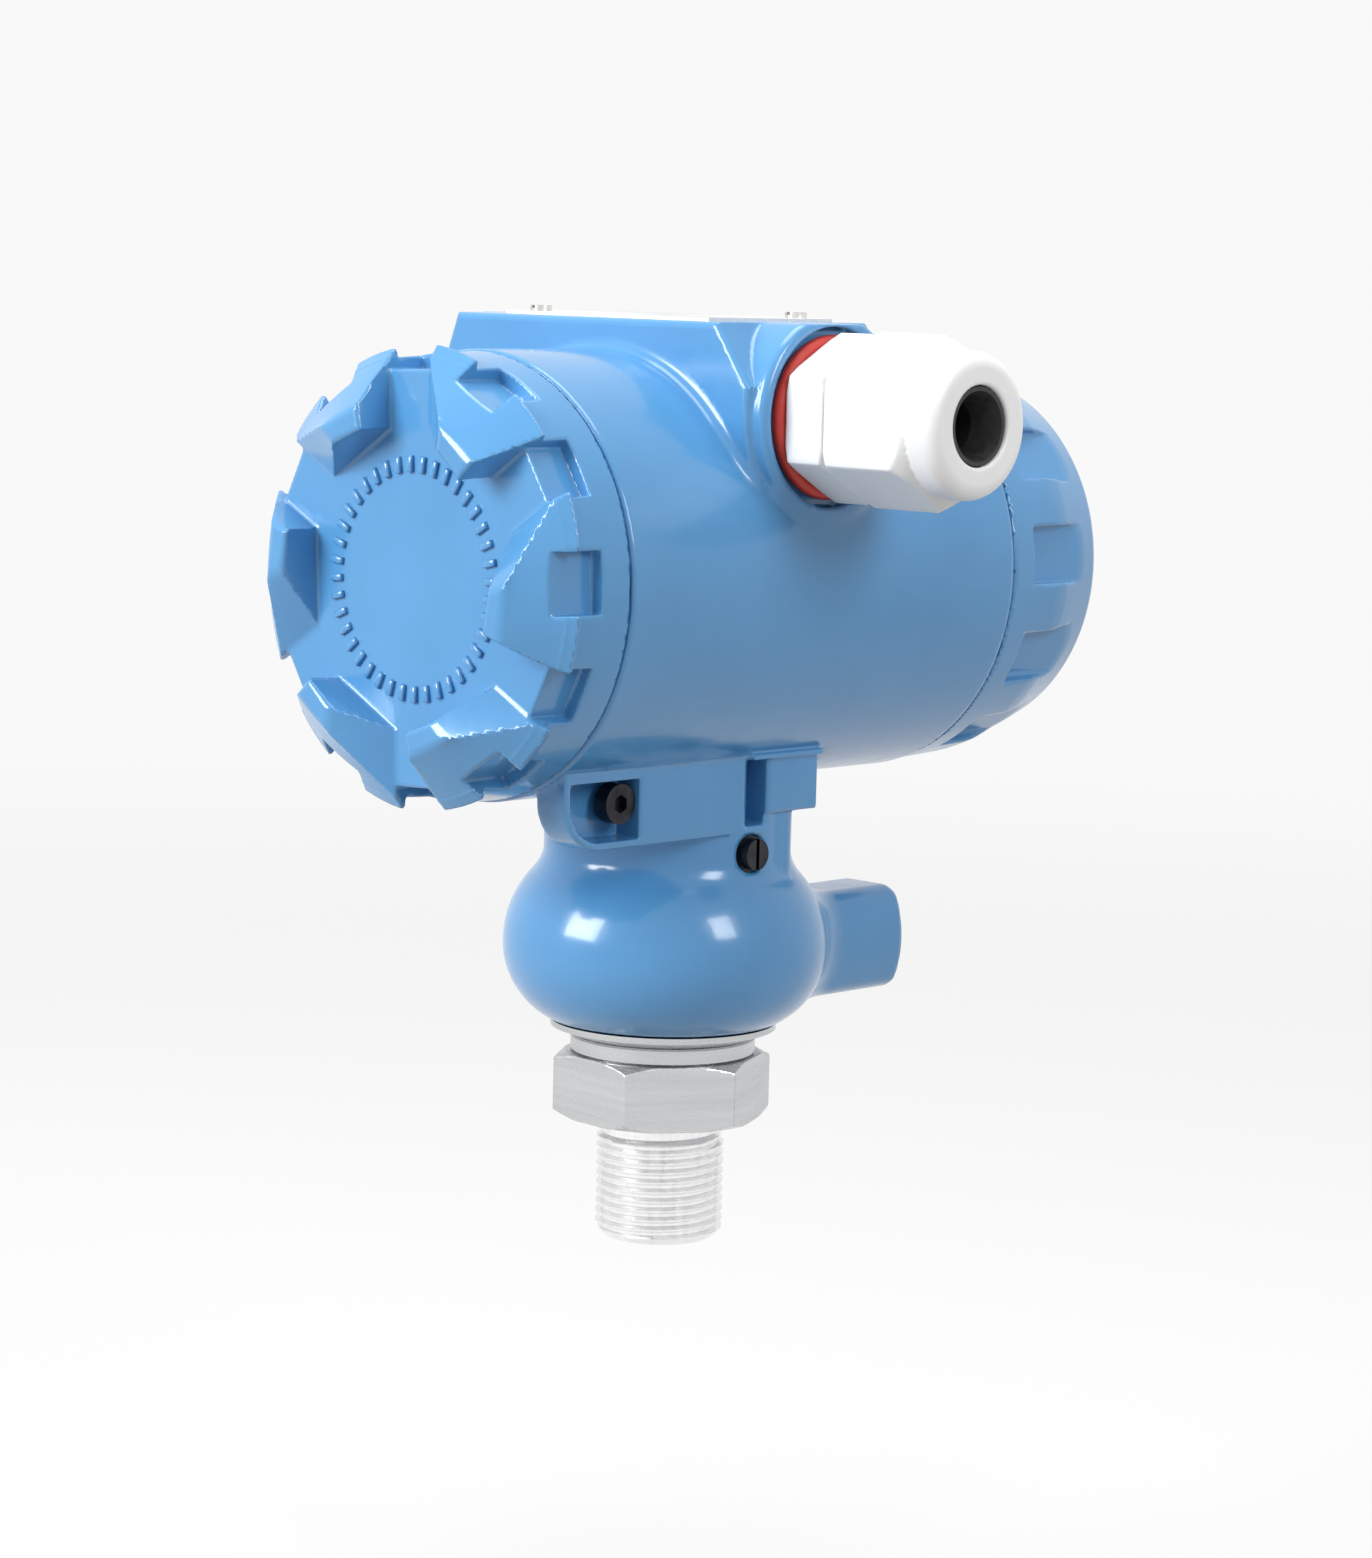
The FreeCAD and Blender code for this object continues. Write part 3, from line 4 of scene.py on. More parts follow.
import json
import logging
import math
from dataclasses import dataclass, field
from enum import Enum
from typing import Callable, Sequence

import bmesh
import bpy
import numpy as np
from mathutils import Matrix, Vector

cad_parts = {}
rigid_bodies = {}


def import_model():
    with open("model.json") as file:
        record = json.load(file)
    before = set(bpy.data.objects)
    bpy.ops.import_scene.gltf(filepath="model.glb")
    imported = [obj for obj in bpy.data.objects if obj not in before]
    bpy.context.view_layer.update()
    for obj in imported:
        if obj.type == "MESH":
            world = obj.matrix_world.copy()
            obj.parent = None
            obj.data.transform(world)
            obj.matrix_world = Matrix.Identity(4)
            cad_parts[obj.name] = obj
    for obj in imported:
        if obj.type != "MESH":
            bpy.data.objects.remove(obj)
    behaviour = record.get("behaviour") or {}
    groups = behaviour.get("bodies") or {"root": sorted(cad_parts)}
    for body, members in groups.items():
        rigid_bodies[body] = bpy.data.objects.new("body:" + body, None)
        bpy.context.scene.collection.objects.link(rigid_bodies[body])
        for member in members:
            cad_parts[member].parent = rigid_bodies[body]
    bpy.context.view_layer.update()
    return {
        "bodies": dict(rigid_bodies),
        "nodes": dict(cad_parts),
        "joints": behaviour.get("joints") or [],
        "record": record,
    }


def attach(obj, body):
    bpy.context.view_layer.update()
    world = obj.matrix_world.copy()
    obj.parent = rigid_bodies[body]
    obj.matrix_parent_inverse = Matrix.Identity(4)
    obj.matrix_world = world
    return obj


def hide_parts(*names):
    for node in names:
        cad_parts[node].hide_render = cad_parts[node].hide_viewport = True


LOG = logging.getLogger("transmitter")
MM = 0.001
AXIS_HEIGHT = 86.2
ENTRY_HEIGHT = AXIS_HEIGHT + 24.4
PAST = 60.0  # past every end, for cuts that run out of a piece
Corner = tuple[float, float]
Triple = tuple[float, float, float]
Crossings = tuple[np.ndarray, np.ndarray, np.ndarray]
Space = tuple[Triple, Triple]


class Axis(Enum):
    """Coordinate axis that a solid runs along."""

    X = 0
    Y = 1
    Z = 2

    @property
    def others(self) -> tuple[int, int]:
        """Indices of the two axes across this one, lower first."""
        first, second = (index for index in range(3) if index != self.value)
        return first, second


class Slot(Enum):
    """Material slots of the record that new pieces take their finish from."""

    ENAMEL = "enamel"
    STEEL = "steel"
    NYLON = "nylon"


# Solids given by their distance


@dataclass(frozen=True)
class Solid:
    """Solid given by its signed distance in millimetres, negative inside."""

    distance: Callable[[np.ndarray], np.ndarray]

    def join(self, other: Solid, radius: float = 0.0) -> Solid:
        """Both solids together, with a fillet where they meet.

        Args:
            other: The solid to add.
            radius: Radius of the fillet.

        Returns:
            The joined solid.
        """
        return self.inverted().meet(other.inverted(), radius).inverted()

    def meet(self, other: Solid, radius: float = 0.0) -> Solid:
        """What both solids share, with its new edges rounded.

        Args:
            other: The solid to meet.
            radius: Radius of the rounded edges.

        Returns:
            The shared solid.
        """

        def distance(points: np.ndarray) -> np.ndarray:
            """Distance to the shared solid."""
            first, second = self.distance(points), other.distance(points)
            if not radius:
                return np.maximum(first, second)
            near = np.maximum(radius + first, 0)
            far = np.maximum(radius + second, 0)
            return np.minimum(-radius, np.maximum(first, second)) + np.hypot(near, far)

        return Solid(distance)

    def carve(self, tool: Solid, radius: float = 0.0) -> Solid:
        """This solid without the tool, with the rim of the cut rounded.

        Args:
            tool: The solid to take away.
            radius: Radius of the rounded rim.

        Returns:
            The carved solid.
        """
        return self.meet(tool.inverted(), radius)

    def inverted(self) -> Solid:
        """Everything outside this solid."""
        return Solid(lambda points: -self.distance(points))

    def turned(self, centre: Triple, degrees: float) -> Solid:
        """This solid turned about the barrel's direction, anticlockwise from the front.

        Args:
            centre: A point on the axis it turns about.
            degrees: How far it turns.

        Returns:
            The turned solid.
        """
        turn = math.radians(degrees)
        return Solid(lambda points: self.distance(turned_back(points, centre, turn)))

    def repeated(self, centre: Triple, count: int) -> Solid:
        """Copies of this solid evenly about the barrel's direction.

        Args:
            centre: A point on the axis they stand around.
            count: How many copies there are.

        Returns:
            All copies as one solid.
        """
        sector = 2 * math.pi / count

        def distance(points: np.ndarray) -> np.ndarray:
            """Distance to the nearest copy."""
            across, up = points[:, 0] - centre[0], points[:, 2] - centre[2]
            turn = np.round(np.arctan2(up, across) / sector) * sector
            return self.distance(turned_back(points, centre, turn))

        return Solid(distance)


def turned_back(points: np.ndarray, centre: Triple, turn: float | np.ndarray) -> np.ndarray:
    """Where points lay before a turn about the barrel's direction.

    Args:
        points: The points.
        centre: A point on the axis of the turn.
        turn: Angle of the turn in radians, or one for each point.

    Returns:
        The points turned back.
    """
    local = points.copy()
    across, up = points[:, 0] - centre[0], points[:, 2] - centre[2]
    cosine, sine = np.cos(turn), np.sin(turn)
    local[:, 0] = centre[0] + across * cosine + up * sine
    local[:, 2] = centre[2] - across * sine + up * cosine
    return local


def rounded_pair(first: np.ndarray, second: np.ndarray, radius: float) -> np.ndarray:
    """Distance to what two distances share, with its edge rounded.

    Args:
        first: Signed distance to one side.
        second: Signed distance to the other side.
        radius: Radius of the edge.

    Returns:
        The combined signed distance.
    """
    near, far = first + radius, second + radius
    inside = np.minimum(np.maximum(near, far), 0)
    return inside + np.hypot(np.maximum(near, 0), np.maximum(far, 0)) - radius


def outline_distance(across: np.ndarray, up: np.ndarray, corners: Sequence[Corner]) -> np.ndarray:
    """Signed distance to a closed outline in a plane.

    Args:
        across: First coordinates of the points.
        up: Second coordinates of the points.
        corners: Corners of the outline in order; each coordinate may be an array.

    Returns:
        Distances, negative inside the outline.
    """
    nearest = np.full(across.shape, np.inf)
    outside = np.ones(across.shape)
    for index, (start_x, start_y) in enumerate(corners):
        last_x, last_y = corners[index - 1]
        edge_x, edge_y = last_x - start_x, last_y - start_y
        from_x, from_y = across - start_x, up - start_y
        share = np.clip((from_x * edge_x + from_y * edge_y) / (edge_x ** 2 + edge_y ** 2), 0, 1)
        nearest = np.minimum(nearest, (from_x - edge_x * share) ** 2 + (from_y - edge_y * share) ** 2)
        above, below = up >= start_y, up < last_y
        left = edge_x * from_y > edge_y * from_x
        crossed = (above & below & left) | (~above & ~below & ~left)
        outside = np.where(crossed, -outside, outside)
    return outside * np.sqrt(nearest)


def block(low: Triple, high: Triple, rounding: float = 0.0) -> Solid:
    """Box between two corners.

    Args:
        low: Lowest corner.
        high: Highest corner.
        rounding: Radius of its edges.

    Returns:
        The box.
    """
    middle = (np.array(low) + np.array(high)) / 2
    half = (np.array(high) - np.array(low)) / 2 - rounding

    def distance(points: np.ndarray) -> np.ndarray:
        """Distance to the box."""
        reach = np.abs(points - middle) - half
        outer = np.linalg.norm(np.maximum(reach, 0), axis=1)
        return outer + np.minimum(reach.max(axis=1), 0) - rounding

    return Solid(distance)


def rod(axis: Axis, centre: Triple, radius: float, low: float, high: float, rounding: float = 0.0) -> Solid:
    """Cylinder along an axis.

    Args:
        axis: Direction it runs in.
        centre: A point on its axis.
        radius: Its radius.
        low: Its low end along the axis.
        high: Its high end along the axis.
        rounding: Radius of its two rims.

    Returns:
        The cylinder.
    """
    first, second = axis.others
    middle, half = (low + high) / 2, (high - low) / 2

    def distance(points: np.ndarray) -> np.ndarray:
        """Distance to the cylinder."""
        spread = np.hypot(points[:, first] - centre[first], points[:, second] - centre[second]) - radius
        along = np.abs(points[:, axis.value] - middle) - half
        return rounded_pair(spread, along, rounding)

    return Solid(distance)


def prism(axis: Axis, corners: Sequence[Corner], low: float, high: float, rounding: float = 0.0) -> Solid:
    """Outline drawn out along an axis.

    Args:
        axis: Direction it is drawn out in.
        corners: Corners in the two other axes, lower axis first.
        low: Its low end along the axis.
        high: Its high end along the axis.
        rounding: Radius of the edges round both ends.

    Returns:
        The prism.
    """
    first, second = axis.others
    middle, half = (low + high) / 2, (high - low) / 2

    def distance(points: np.ndarray) -> np.ndarray:
        """Distance to the prism."""
        side = outline_distance(points[:, first], points[:, second], corners)
        along = np.abs(points[:, axis.value] - middle) - half
        return rounded_pair(side, along, rounding)

    return Solid(distance)


def lathe(axis: Axis, centre: Triple, corners: Sequence[Corner], rounding: float = 0.0) -> Solid:
    """Outline turned about an axis.

    Args:
        axis: Axis that it turns about.
        centre: A point on that axis.
        corners: Corners as (along the axis, radius); a negative radius closes it at the middle.
        rounding: Radius of its outward corners.

    Returns:
        The turned solid.
    """
    first, second = axis.others

    def distance(points: np.ndarray) -> np.ndarray:
        """Distance to the turned solid."""
        spread = np.hypot(points[:, first] - centre[first], points[:, second] - centre[second])
        return outline_distance(points[:, axis.value], spread, corners) - rounding

    return Solid(distance)


def half_space(axis: Axis, level: float, keeps_below: bool = True) -> Solid:
    """Everything on one side of a level.

    Args:
        axis: Axis that the level is measured along.
        level: The level.
        keeps_below: True for the lower side.

    Returns:
        The half space.
    """
    side = 1 if keeps_below else -1
    return Solid(lambda points: side * (points[:, axis.value] - level))


def six_sided(axis: Axis, centre: Triple, flats: float, turn: float = 0.0) -> Solid:
    """Endless hexagonal bar.

    Args:
        axis: Direction it runs in.
        centre: A point on its axis.
        flats: Size across the flats.
        turn: How far its corners stand from the first of the two other axes, in degrees.

    Returns:
        The bar.
    """
    first, second = axis.others
    sides = [math.radians(turn + 30 + 60 * side) for side in range(6)]

    def distance(points: np.ndarray) -> np.ndarray:
        """Distance to the nearest side."""
        across, up = points[:, first] - centre[first], points[:, second] - centre[second]
        reach = [across * math.cos(side) + up * math.sin(side) for side in sides]
        return np.max(reach, axis=0) - flats / 2

    return Solid(distance)


def chamfered_hexagon(axis: Axis, centre: Triple, flats: float, ends: Corner, chamfer: Corner,
                      edge: float, turn: float = 30.0) -> Solid:
    """Hexagonal head with a turned chamfer at both ends.

    Args:
        axis: Direction it runs in.
        centre: A point on its axis.
        flats: Size across the flats.
        ends: Its low and its high end.
        chamfer: Length of each chamfer and its fall in radius.
        edge: Radius of its edges.
        turn: How far its corners stand from the first of the two other axes, in degrees.

    Returns:
        The head.
    """
    (low, high), (run, fall) = ends, chamfer
    tip = flats / math.sqrt(3)
    envelope = lathe(axis, centre, [
        (low, -5), (low, tip - fall), (low + run, tip), (high - run, tip), (high, tip - fall), (high, -5),
    ])
    return six_sided(axis, centre, flats, turn).meet(envelope, edge)


# Meshes


@dataclass
class Mesher:
    """Turns a solid given by its distance into an even mesh on its surface.

    Attributes:
        step: Size of the grid's cells in millimetres.
        rounds: How often points are brought onto the surface.
        probe: Offset over which slopes are measured.
        slab: Layers of the grid that are measured at once.
        hold: How firmly a cell's point keeps to the middle of its crossings.
        reach: Farthest that the point moves from there, in cells.
    """

    step: float
    rounds: int = 4
    probe: float = 0.02
    slab: int = 6
    hold: float = 0.08
    reach: float = 0.7

    def mesh(self, name: str, solid: Solid, space: Space, share: float = 1.0) -> bpy.types.Object:
        """Build an object with the solid's surface.

        Args:
            name: Name of the new piece.
            solid: The solid.
            space: Low and high corner of the space to search, clear of the solid.
            share: Share of the faces that is kept.

        Returns:
            The new object, smooth shaded with the solid's own normals.
        """
        points, quads = self._net(solid, *np.array(space, float))
        points = self._settle(solid, points)
        piece = new_piece(name, points * MM, quads)
        if share < 1:
            thin = piece.modifiers.new("thin", "DECIMATE")
            thin.ratio = share
            graph = bpy.context.evaluated_depsgraph_get()
            mesh = bpy.data.meshes.new_from_object(piece.evaluated_get(graph))
            piece.modifiers.clear()
            piece.data = mesh
            points = np.empty(len(mesh.vertices) * 3)
            mesh.vertices.foreach_get("co", points)
            points = self._settle(solid, points.reshape(-1, 3) / MM)
            mesh.vertices.foreach_set("co", (points * MM).ravel())
            mesh.update()
        piece.data.shade_smooth()
        piece.data.normals_split_custom_set_from_vertices(self._slope(solid, points)[1])
        return piece

    def _net(self, solid: Solid, low: np.ndarray, high: np.ndarray) -> tuple[np.ndarray, np.ndarray]:
        """Find the cells that the surface passes through and join them up.

        Args:
            solid: The solid.
            low: Low corner of the grid.
            high: High corner of the grid.

        Returns:
            Points near the surface, and the quads between them.
        """
        counts = np.ceil((high - low) / self.step).astype(int) + 1
        ticks = [low[index] + self.step * np.arange(counts[index]) for index in range(3)]
        values = np.empty(counts)
        for start in range(0, counts[0], self.slab):
            part = np.meshgrid(ticks[0][start:start + self.slab], ticks[1], ticks[2], indexing="ij")
            cloud = np.stack([grid.ravel() for grid in part], axis=1)
            values[start:start + self.slab] = solid.distance(cloud).reshape(part[0].shape)
        cells = counts - 1
        total = int(np.prod(cells))
        sums, hits, quads = np.zeros((3, total)), np.zeros(total), []
        crossings = []
        for index in range(3):
            near = np.delete(values, -1, axis=index)
            far = np.delete(values, 0, axis=index)
            change = (near < 0) != (far < 0)
            spots = np.argwhere(change)
            places = spots.astype(float)
            places[:, index] += near[change] / (near[change] - far[change])
            second, third = (index + 1) % 3, (index + 2) % 3
            around = []
            normals = self._slope(solid, places * self.step + low)[1]
            for back, down in ((1, 1), (0, 1), (0, 0), (1, 0)):
                cell = spots.copy()
                cell[:, second] -= back
                cell[:, third] -= down
                flat = np.ravel_multi_index(cell.T, cells)
                around.append(flat)
                hits += np.bincount(flat, minlength=total)
                for row in range(3):
                    sums[row] += np.bincount(flat, places[:, row], minlength=total)
            quad = np.stack(around, axis=1)
            crossings.append((quad.copy(), places, normals))
            inward = near[change] >= 0
            quad[inward] = quad[inward][:, ::-1]
            quads.append(quad)
        used = np.flatnonzero(hits)
        number = np.zeros(total, int)
        number[used] = np.arange(len(used))
        middle = (sums[:, used] / hits[used]).T
        points = self._corner(middle, [(number[cell], spot, normal) for cell, spot, normal in crossings])
        return points * self.step + low, number[np.concatenate(quads)]

    def _corner(self, middle: np.ndarray, crossings: list[Crossings]) -> np.ndarray:
        """Move each cell's point to where the planes through its crossings meet.

        Args:
            middle: Mean of the crossings of each cell, in cells.
            crossings: Numbers of the four cells round each crossing, its place and its normal.

        Returns:
            The points, which lie on the solid's edges and corners where a cell holds one.
        """
        count = len(middle)
        square, side = np.zeros((count, 3, 3)), np.zeros((count, 3))
        for around, spot, normal in crossings:
            for cell in around.T:
                gap = np.einsum("ij,ij->i", normal, spot - middle[cell])
                for row in range(3):
                    side[:, row] += np.bincount(cell, normal[:, row] * gap, minlength=count)
                    for column in range(3):
                        weight = normal[:, row] * normal[:, column]
                        square[:, row, column] += np.bincount(cell, weight, minlength=count)
        square += np.eye(3) * self.hold
        shift = np.linalg.solve(square, side[:, :, None])[:, :, 0]
        return middle + np.clip(shift, -self.reach, self.reach)

    def _slope(self, solid: Solid, points: np.ndarray) -> tuple[np.ndarray, np.ndarray]:
        """Measure how the distance changes at points.

        Args:
            solid: The solid.
            points: Where to measure.

        Returns:
            Length of the slope at each point, and its unit direction.
        """
        slope = np.empty(points.shape)
        for index in range(3):
            offset = np.zeros(3)
            offset[index] = self.probe
            slope[:, index] = solid.distance(points + offset) - solid.distance(points - offset)
        slope /= 2 * self.probe
        length = np.maximum(np.linalg.norm(slope, axis=1), 1e-3)
        return length, slope / length[:, None]

    def _settle(self, solid: Solid, points: np.ndarray) -> np.ndarray:
        """Bring points onto the surface.

        Args:
            solid: The solid.
            points: Points near its surface.

        Returns:
            The moved points.
        """
        for _ in range(self.rounds):
            length, direction = self._slope(solid, points)
            move = np.clip(solid.distance(points) / length, -self.step / 2, self.step / 2)
            points = points - direction * move[:, None]
        return points


def new_piece(name: str, points: np.ndarray, faces: np.ndarray) -> bpy.types.Object:
    """Make an object from points in metres and faces with equal numbers of corners.

    Args:
        name: Name of the piece.
        points: Its points.
        faces: Point numbers of each face.

    Returns:
        The new object, linked to the scene.
    """
    mesh = bpy.data.meshes.new(name)
    mesh.vertices.add(len(points))
    mesh.vertices.foreach_set("co", np.asarray(points, float).ravel())
    mesh.loops.add(faces.size)
    mesh.loops.foreach_set("vertex_index", faces.ravel())
    mesh.polygons.add(len(faces))
    mesh.polygons.foreach_set("loop_start", np.arange(0, faces.size, faces.shape[1]))
    mesh.update(calc_edges=True)
    piece = bpy.data.objects.new(name, mesh)
    bpy.context.scene.collection.objects.link(piece)
    return piece


def turned_piece(name: str, axis: Axis, centre: Triple, corners: Sequence[Corner], smooth: float = 35.0,
                 around: int = 96) -> bpy.types.Object:
    """Turned piece from a closed profile.

    Args:
        name: Name of the piece.
        axis: Axis that it turns about.
        centre: A point on that axis.
        corners: Profile as (along the axis, radius), closed, with every radius over zero.
        smooth: Angle in degrees below which edges are shaded smooth.
        around: Points around the piece.

    Returns:
        The new object.
    """
    first, second = axis.others
    angles = np.arange(around) * 2 * math.pi / around
    rows = np.zeros((len(corners), around, 3))
    for row, (along, radius) in zip(rows, corners):
        row[:, first] = centre[first] + radius * np.cos(angles)
        row[:, second] = centre[second] + radius * np.sin(angles)
        row[:, axis.value] = along
    grid = np.arange(len(corners) * around).reshape(len(corners), around)
    following = np.roll(grid, -1, axis=0)
    faces = np.stack([grid, np.roll(grid, -1, axis=1), np.roll(following, -1, axis=1), following], axis=2)
    piece = new_piece(name, rows.reshape(-1, 3) * MM, faces.reshape(-1, 4))
    piece.data.shade_smooth()
    piece.data.set_sharp_from_angle(angle=math.radians(smooth))
    return piece


def arc(centre: Corner, radius: float, start: float, end: float, count: int = 8) -> list[Corner]:
    """Points along an arc.

    Args:
        centre: Centre of the arc.
        radius: Its radius.
        start: Angle of its first point, in degrees.
        end: Angle of its last point, in degrees.
        count: Number of steps.

    Returns:
        The points.
    """
    angles = np.radians(np.linspace(start, end, count + 1))
    return [(centre[0] + radius * math.cos(angle), centre[1] + radius * math.sin(angle)) for angle in angles]


# Finishes


class Graph:
    """Nodes and links of one node tree."""

    def __init__(self, tree: bpy.types.NodeTree) -> None:
        """Keep the tree's nodes and links."""
        self.nodes, self.links = tree.nodes, tree.links

    def add(self, kind: str, **settings: object) -> bpy.types.Node:
        """Add a node and set its properties."""
        node = self.nodes.new(kind)
        for key, value in settings.items():
            setattr(node, key, value)
        return node

    def link(self, source: bpy.types.NodeSocket, target: bpy.types.NodeSocket) -> None:
        """Join an output to an input."""
        self.links.new(source, target)

    def grey(self, kind: str, value: float) -> bpy.types.Node:
        """Add a shader of one even grey."""
        node = self.add(kind)
        node.inputs["Color"].default_value = (value, value, value, 1)
        return node

    def choice(self, share: bpy.types.NodeSocket, first: bpy.types.Node,
               second: bpy.types.Node) -> bpy.types.Node:
        """Mix two shaders, with the second where the share is one."""
        node = self.add("ShaderNodeMixShader")
        for source, target in zip((share, first.outputs[0], second.outputs[0]), node.inputs):
            self.link(source, target)
        return node

    def seen(self) -> bpy.types.NodeSocket:
        """One for rays from the camera, and for those that it sees in metal or glass."""
        path = self.add("ShaderNodeLightPath")
        last = path.outputs["Is Camera Ray"]
        for ray in ("Is Glossy Ray", "Is Transmission Ray"):
            either = self.add("ShaderNodeMath", operation="MAXIMUM")
            self.link(last, either.inputs[0])
            self.link(path.outputs[ray], either.inputs[1])
            last = either.outputs[0]
        return last


class Tree(Graph):
    """Node tree of a new material around one Principled shader."""

    def __init__(self, name: str) -> None:
        """Make the material and find its shader."""
        self.material = bpy.data.materials.new(name)
        self.material.use_nodes = True
        super().__init__(self.material.node_tree)
        self.shader = self.nodes["Principled BSDF"]
        self.place = self.add("ShaderNodeTexCoord").outputs["Object"]

    def noise(self, scale: float, detail: float = 3.0, stretch: Triple = (1, 1, 1)) -> bpy.types.NodeSocket:
        """Noise fixed to the object.

        Args:
            scale: Features per metre.
            detail: Octaves of finer noise.
            stretch: Scale along each axis.

        Returns:
            The noise value's output.
        """
        mapping = self.add("ShaderNodeMapping")
        mapping.inputs["Scale"].default_value = stretch
        self.link(self.place, mapping.inputs["Vector"])
        node = self.add("ShaderNodeTexNoise")
        node.inputs["Scale"].default_value = scale
        node.inputs["Detail"].default_value = detail
        self.link(mapping.outputs["Vector"], node.inputs["Vector"])
        return node.outputs["Fac"]

    def ranged(self, source: bpy.types.NodeSocket, low: float, high: float) -> bpy.types.NodeSocket:
        """Map a value between 0.3 and 0.7 onto a range.

        Args:
            source: The value.
            low: What 0.3 becomes.
            high: What 0.7 becomes.

        Returns:
            The mapped value's output.
        """
        node = self.add("ShaderNodeMapRange")
        node.inputs["From Min"].default_value = 0.3
        node.inputs["From Max"].default_value = 0.7
        node.inputs["To Min"].default_value = low
        node.inputs["To Max"].default_value = high
        self.link(source, node.inputs["Value"])
        return node.outputs["Result"]

    def tint(self, source: bpy.types.NodeSocket, first: Triple, second: Triple) -> None:
        """Colour the surface between two colours by a value."""
        mix = self.add("ShaderNodeMix", data_type="RGBA")
        mix.inputs[6].default_value = (*first, 1)
        mix.inputs[7].default_value = (*second, 1)
        self.link(self.ranged(source, 0, 1), mix.inputs["Factor"])
        self.link(mix.outputs[2], self.shader.inputs["Base Color"])

    def roughen(self, source: bpy.types.NodeSocket, limits: Corner) -> None:
        """Vary the roughness between two limits by a value."""
        self.link(self.ranged(source, *limits), self.shader.inputs["Roughness"])

    def bump(self, height: bpy.types.NodeSocket, depth: float, strength: float) -> None:
        """Add a bump of a given depth in metres."""
        node = self.add("ShaderNodeBump")
        node.inputs["Strength"].default_value = strength
        node.inputs["Distance"].default_value = depth
        self.link(height, node.inputs["Height"])
        self.link(node.outputs["Normal"], self.shader.inputs["Normal"])

    def values(self, **sockets: float) -> None:
        """Set constant inputs of the shader, such as Coat_Weight for Coat Weight."""
        for key, value in sockets.items():
            self.shader.inputs[key.replace("_", " ")].default_value = value


@dataclass(frozen=True)
class Finish:
    """Two near colours and a range of roughness, both varied by noise fixed to the object.

    Attributes:
        name: Name of the material.
        pale: Lighter colour.
        deep: Darker colour.
        rough: Least and greatest roughness.
    """

    name: str
    pale: Triple
    deep: Triple
    rough: Corner

    def make(self) -> bpy.types.Material:
        """Build the material."""
        tree = Tree(self.name)
        self.dress(tree)
        return tree.material

    def dress(self, tree: Tree) -> None:
        """Set the shader of the material; each kind of finish does it in its own way."""
        raise NotImplementedError


@dataclass(frozen=True)
class Enamel(Finish):
    """Glossy stoved enamel over a die casting. Scales are features per metre."""

    cloud: float = 55.0
    grain: float = 240.0
    peel: float = 420.0
    peel_depth: float = 0.00004

    def dress(self, tree: Tree) -> None:
        """Set the shader of the material."""
        tree.tint(tree.noise(self.cloud, 4), self.deep, self.pale)
        tree.roughen(tree.noise(self.grain, 3), self.rough)
        tree.bump(tree.noise(self.peel, 2), self.peel_depth, 0.35)
        tree.values(Coat_Weight=0.3, Coat_Roughness=0.06, IOR=1.48)


@dataclass(frozen=True)
class Turned(Finish):
    """Metal with fine marks of turning or brushing, drawn out along the small axes of the stretch."""

    stretch: Triple = (0.05, 0.05, 1.0)
    cloud: float = 900.0
    marks: float = 5200.0
    mark_depth: float = 0.00002

    def dress(self, tree: Tree) -> None:
        """Set the shader of the material."""
        marks = tree.noise(self.marks, 4, self.stretch)
        tree.tint(tree.noise(self.cloud, 4, self.stretch), self.deep, self.pale)
        tree.roughen(marks, self.rough)
        tree.bump(marks, self.mark_depth, 0.4)
        tree.values(Metallic=1.0, Anisotropic=0.5)


@dataclass(frozen=True)
class Moulded(Finish):
    """Moulded plastic or rubber with a faintly uneven skin."""

    grain: float = 900.0
    depth: float = 0.00003
    glow: float = 0.0
    cloud: float = 120.0

    def dress(self, tree: Tree) -> None:
        """Set the shader of the material."""
        tree.tint(tree.noise(self.cloud, 4), self.deep, self.pale)
        tree.roughen(tree.noise(self.grain, 3), self.rough)
        tree.bump(tree.noise(self.grain, 2), self.depth, 0.5)
        tree.values(Subsurface_Weight=self.glow, Subsurface_Scale=0.002)


@dataclass(frozen=True)
class Plated(Finish):
    """Plated or bare metal of small parts."""

    cloud: float = 420.0
    grain: float = 2600.0
    pits: float = 3200.0
    pit_depth: float = 0.00001

    def dress(self, tree: Tree) -> None:
        """Set the shader of the material."""
        tree.tint(tree.noise(self.cloud, 5), self.deep, self.pale)
        tree.roughen(tree.noise(self.grain, 3), self.rough)
        tree.bump(tree.noise(self.pits, 3), self.pit_depth, 0.4)
        tree.values(Metallic=1.0)


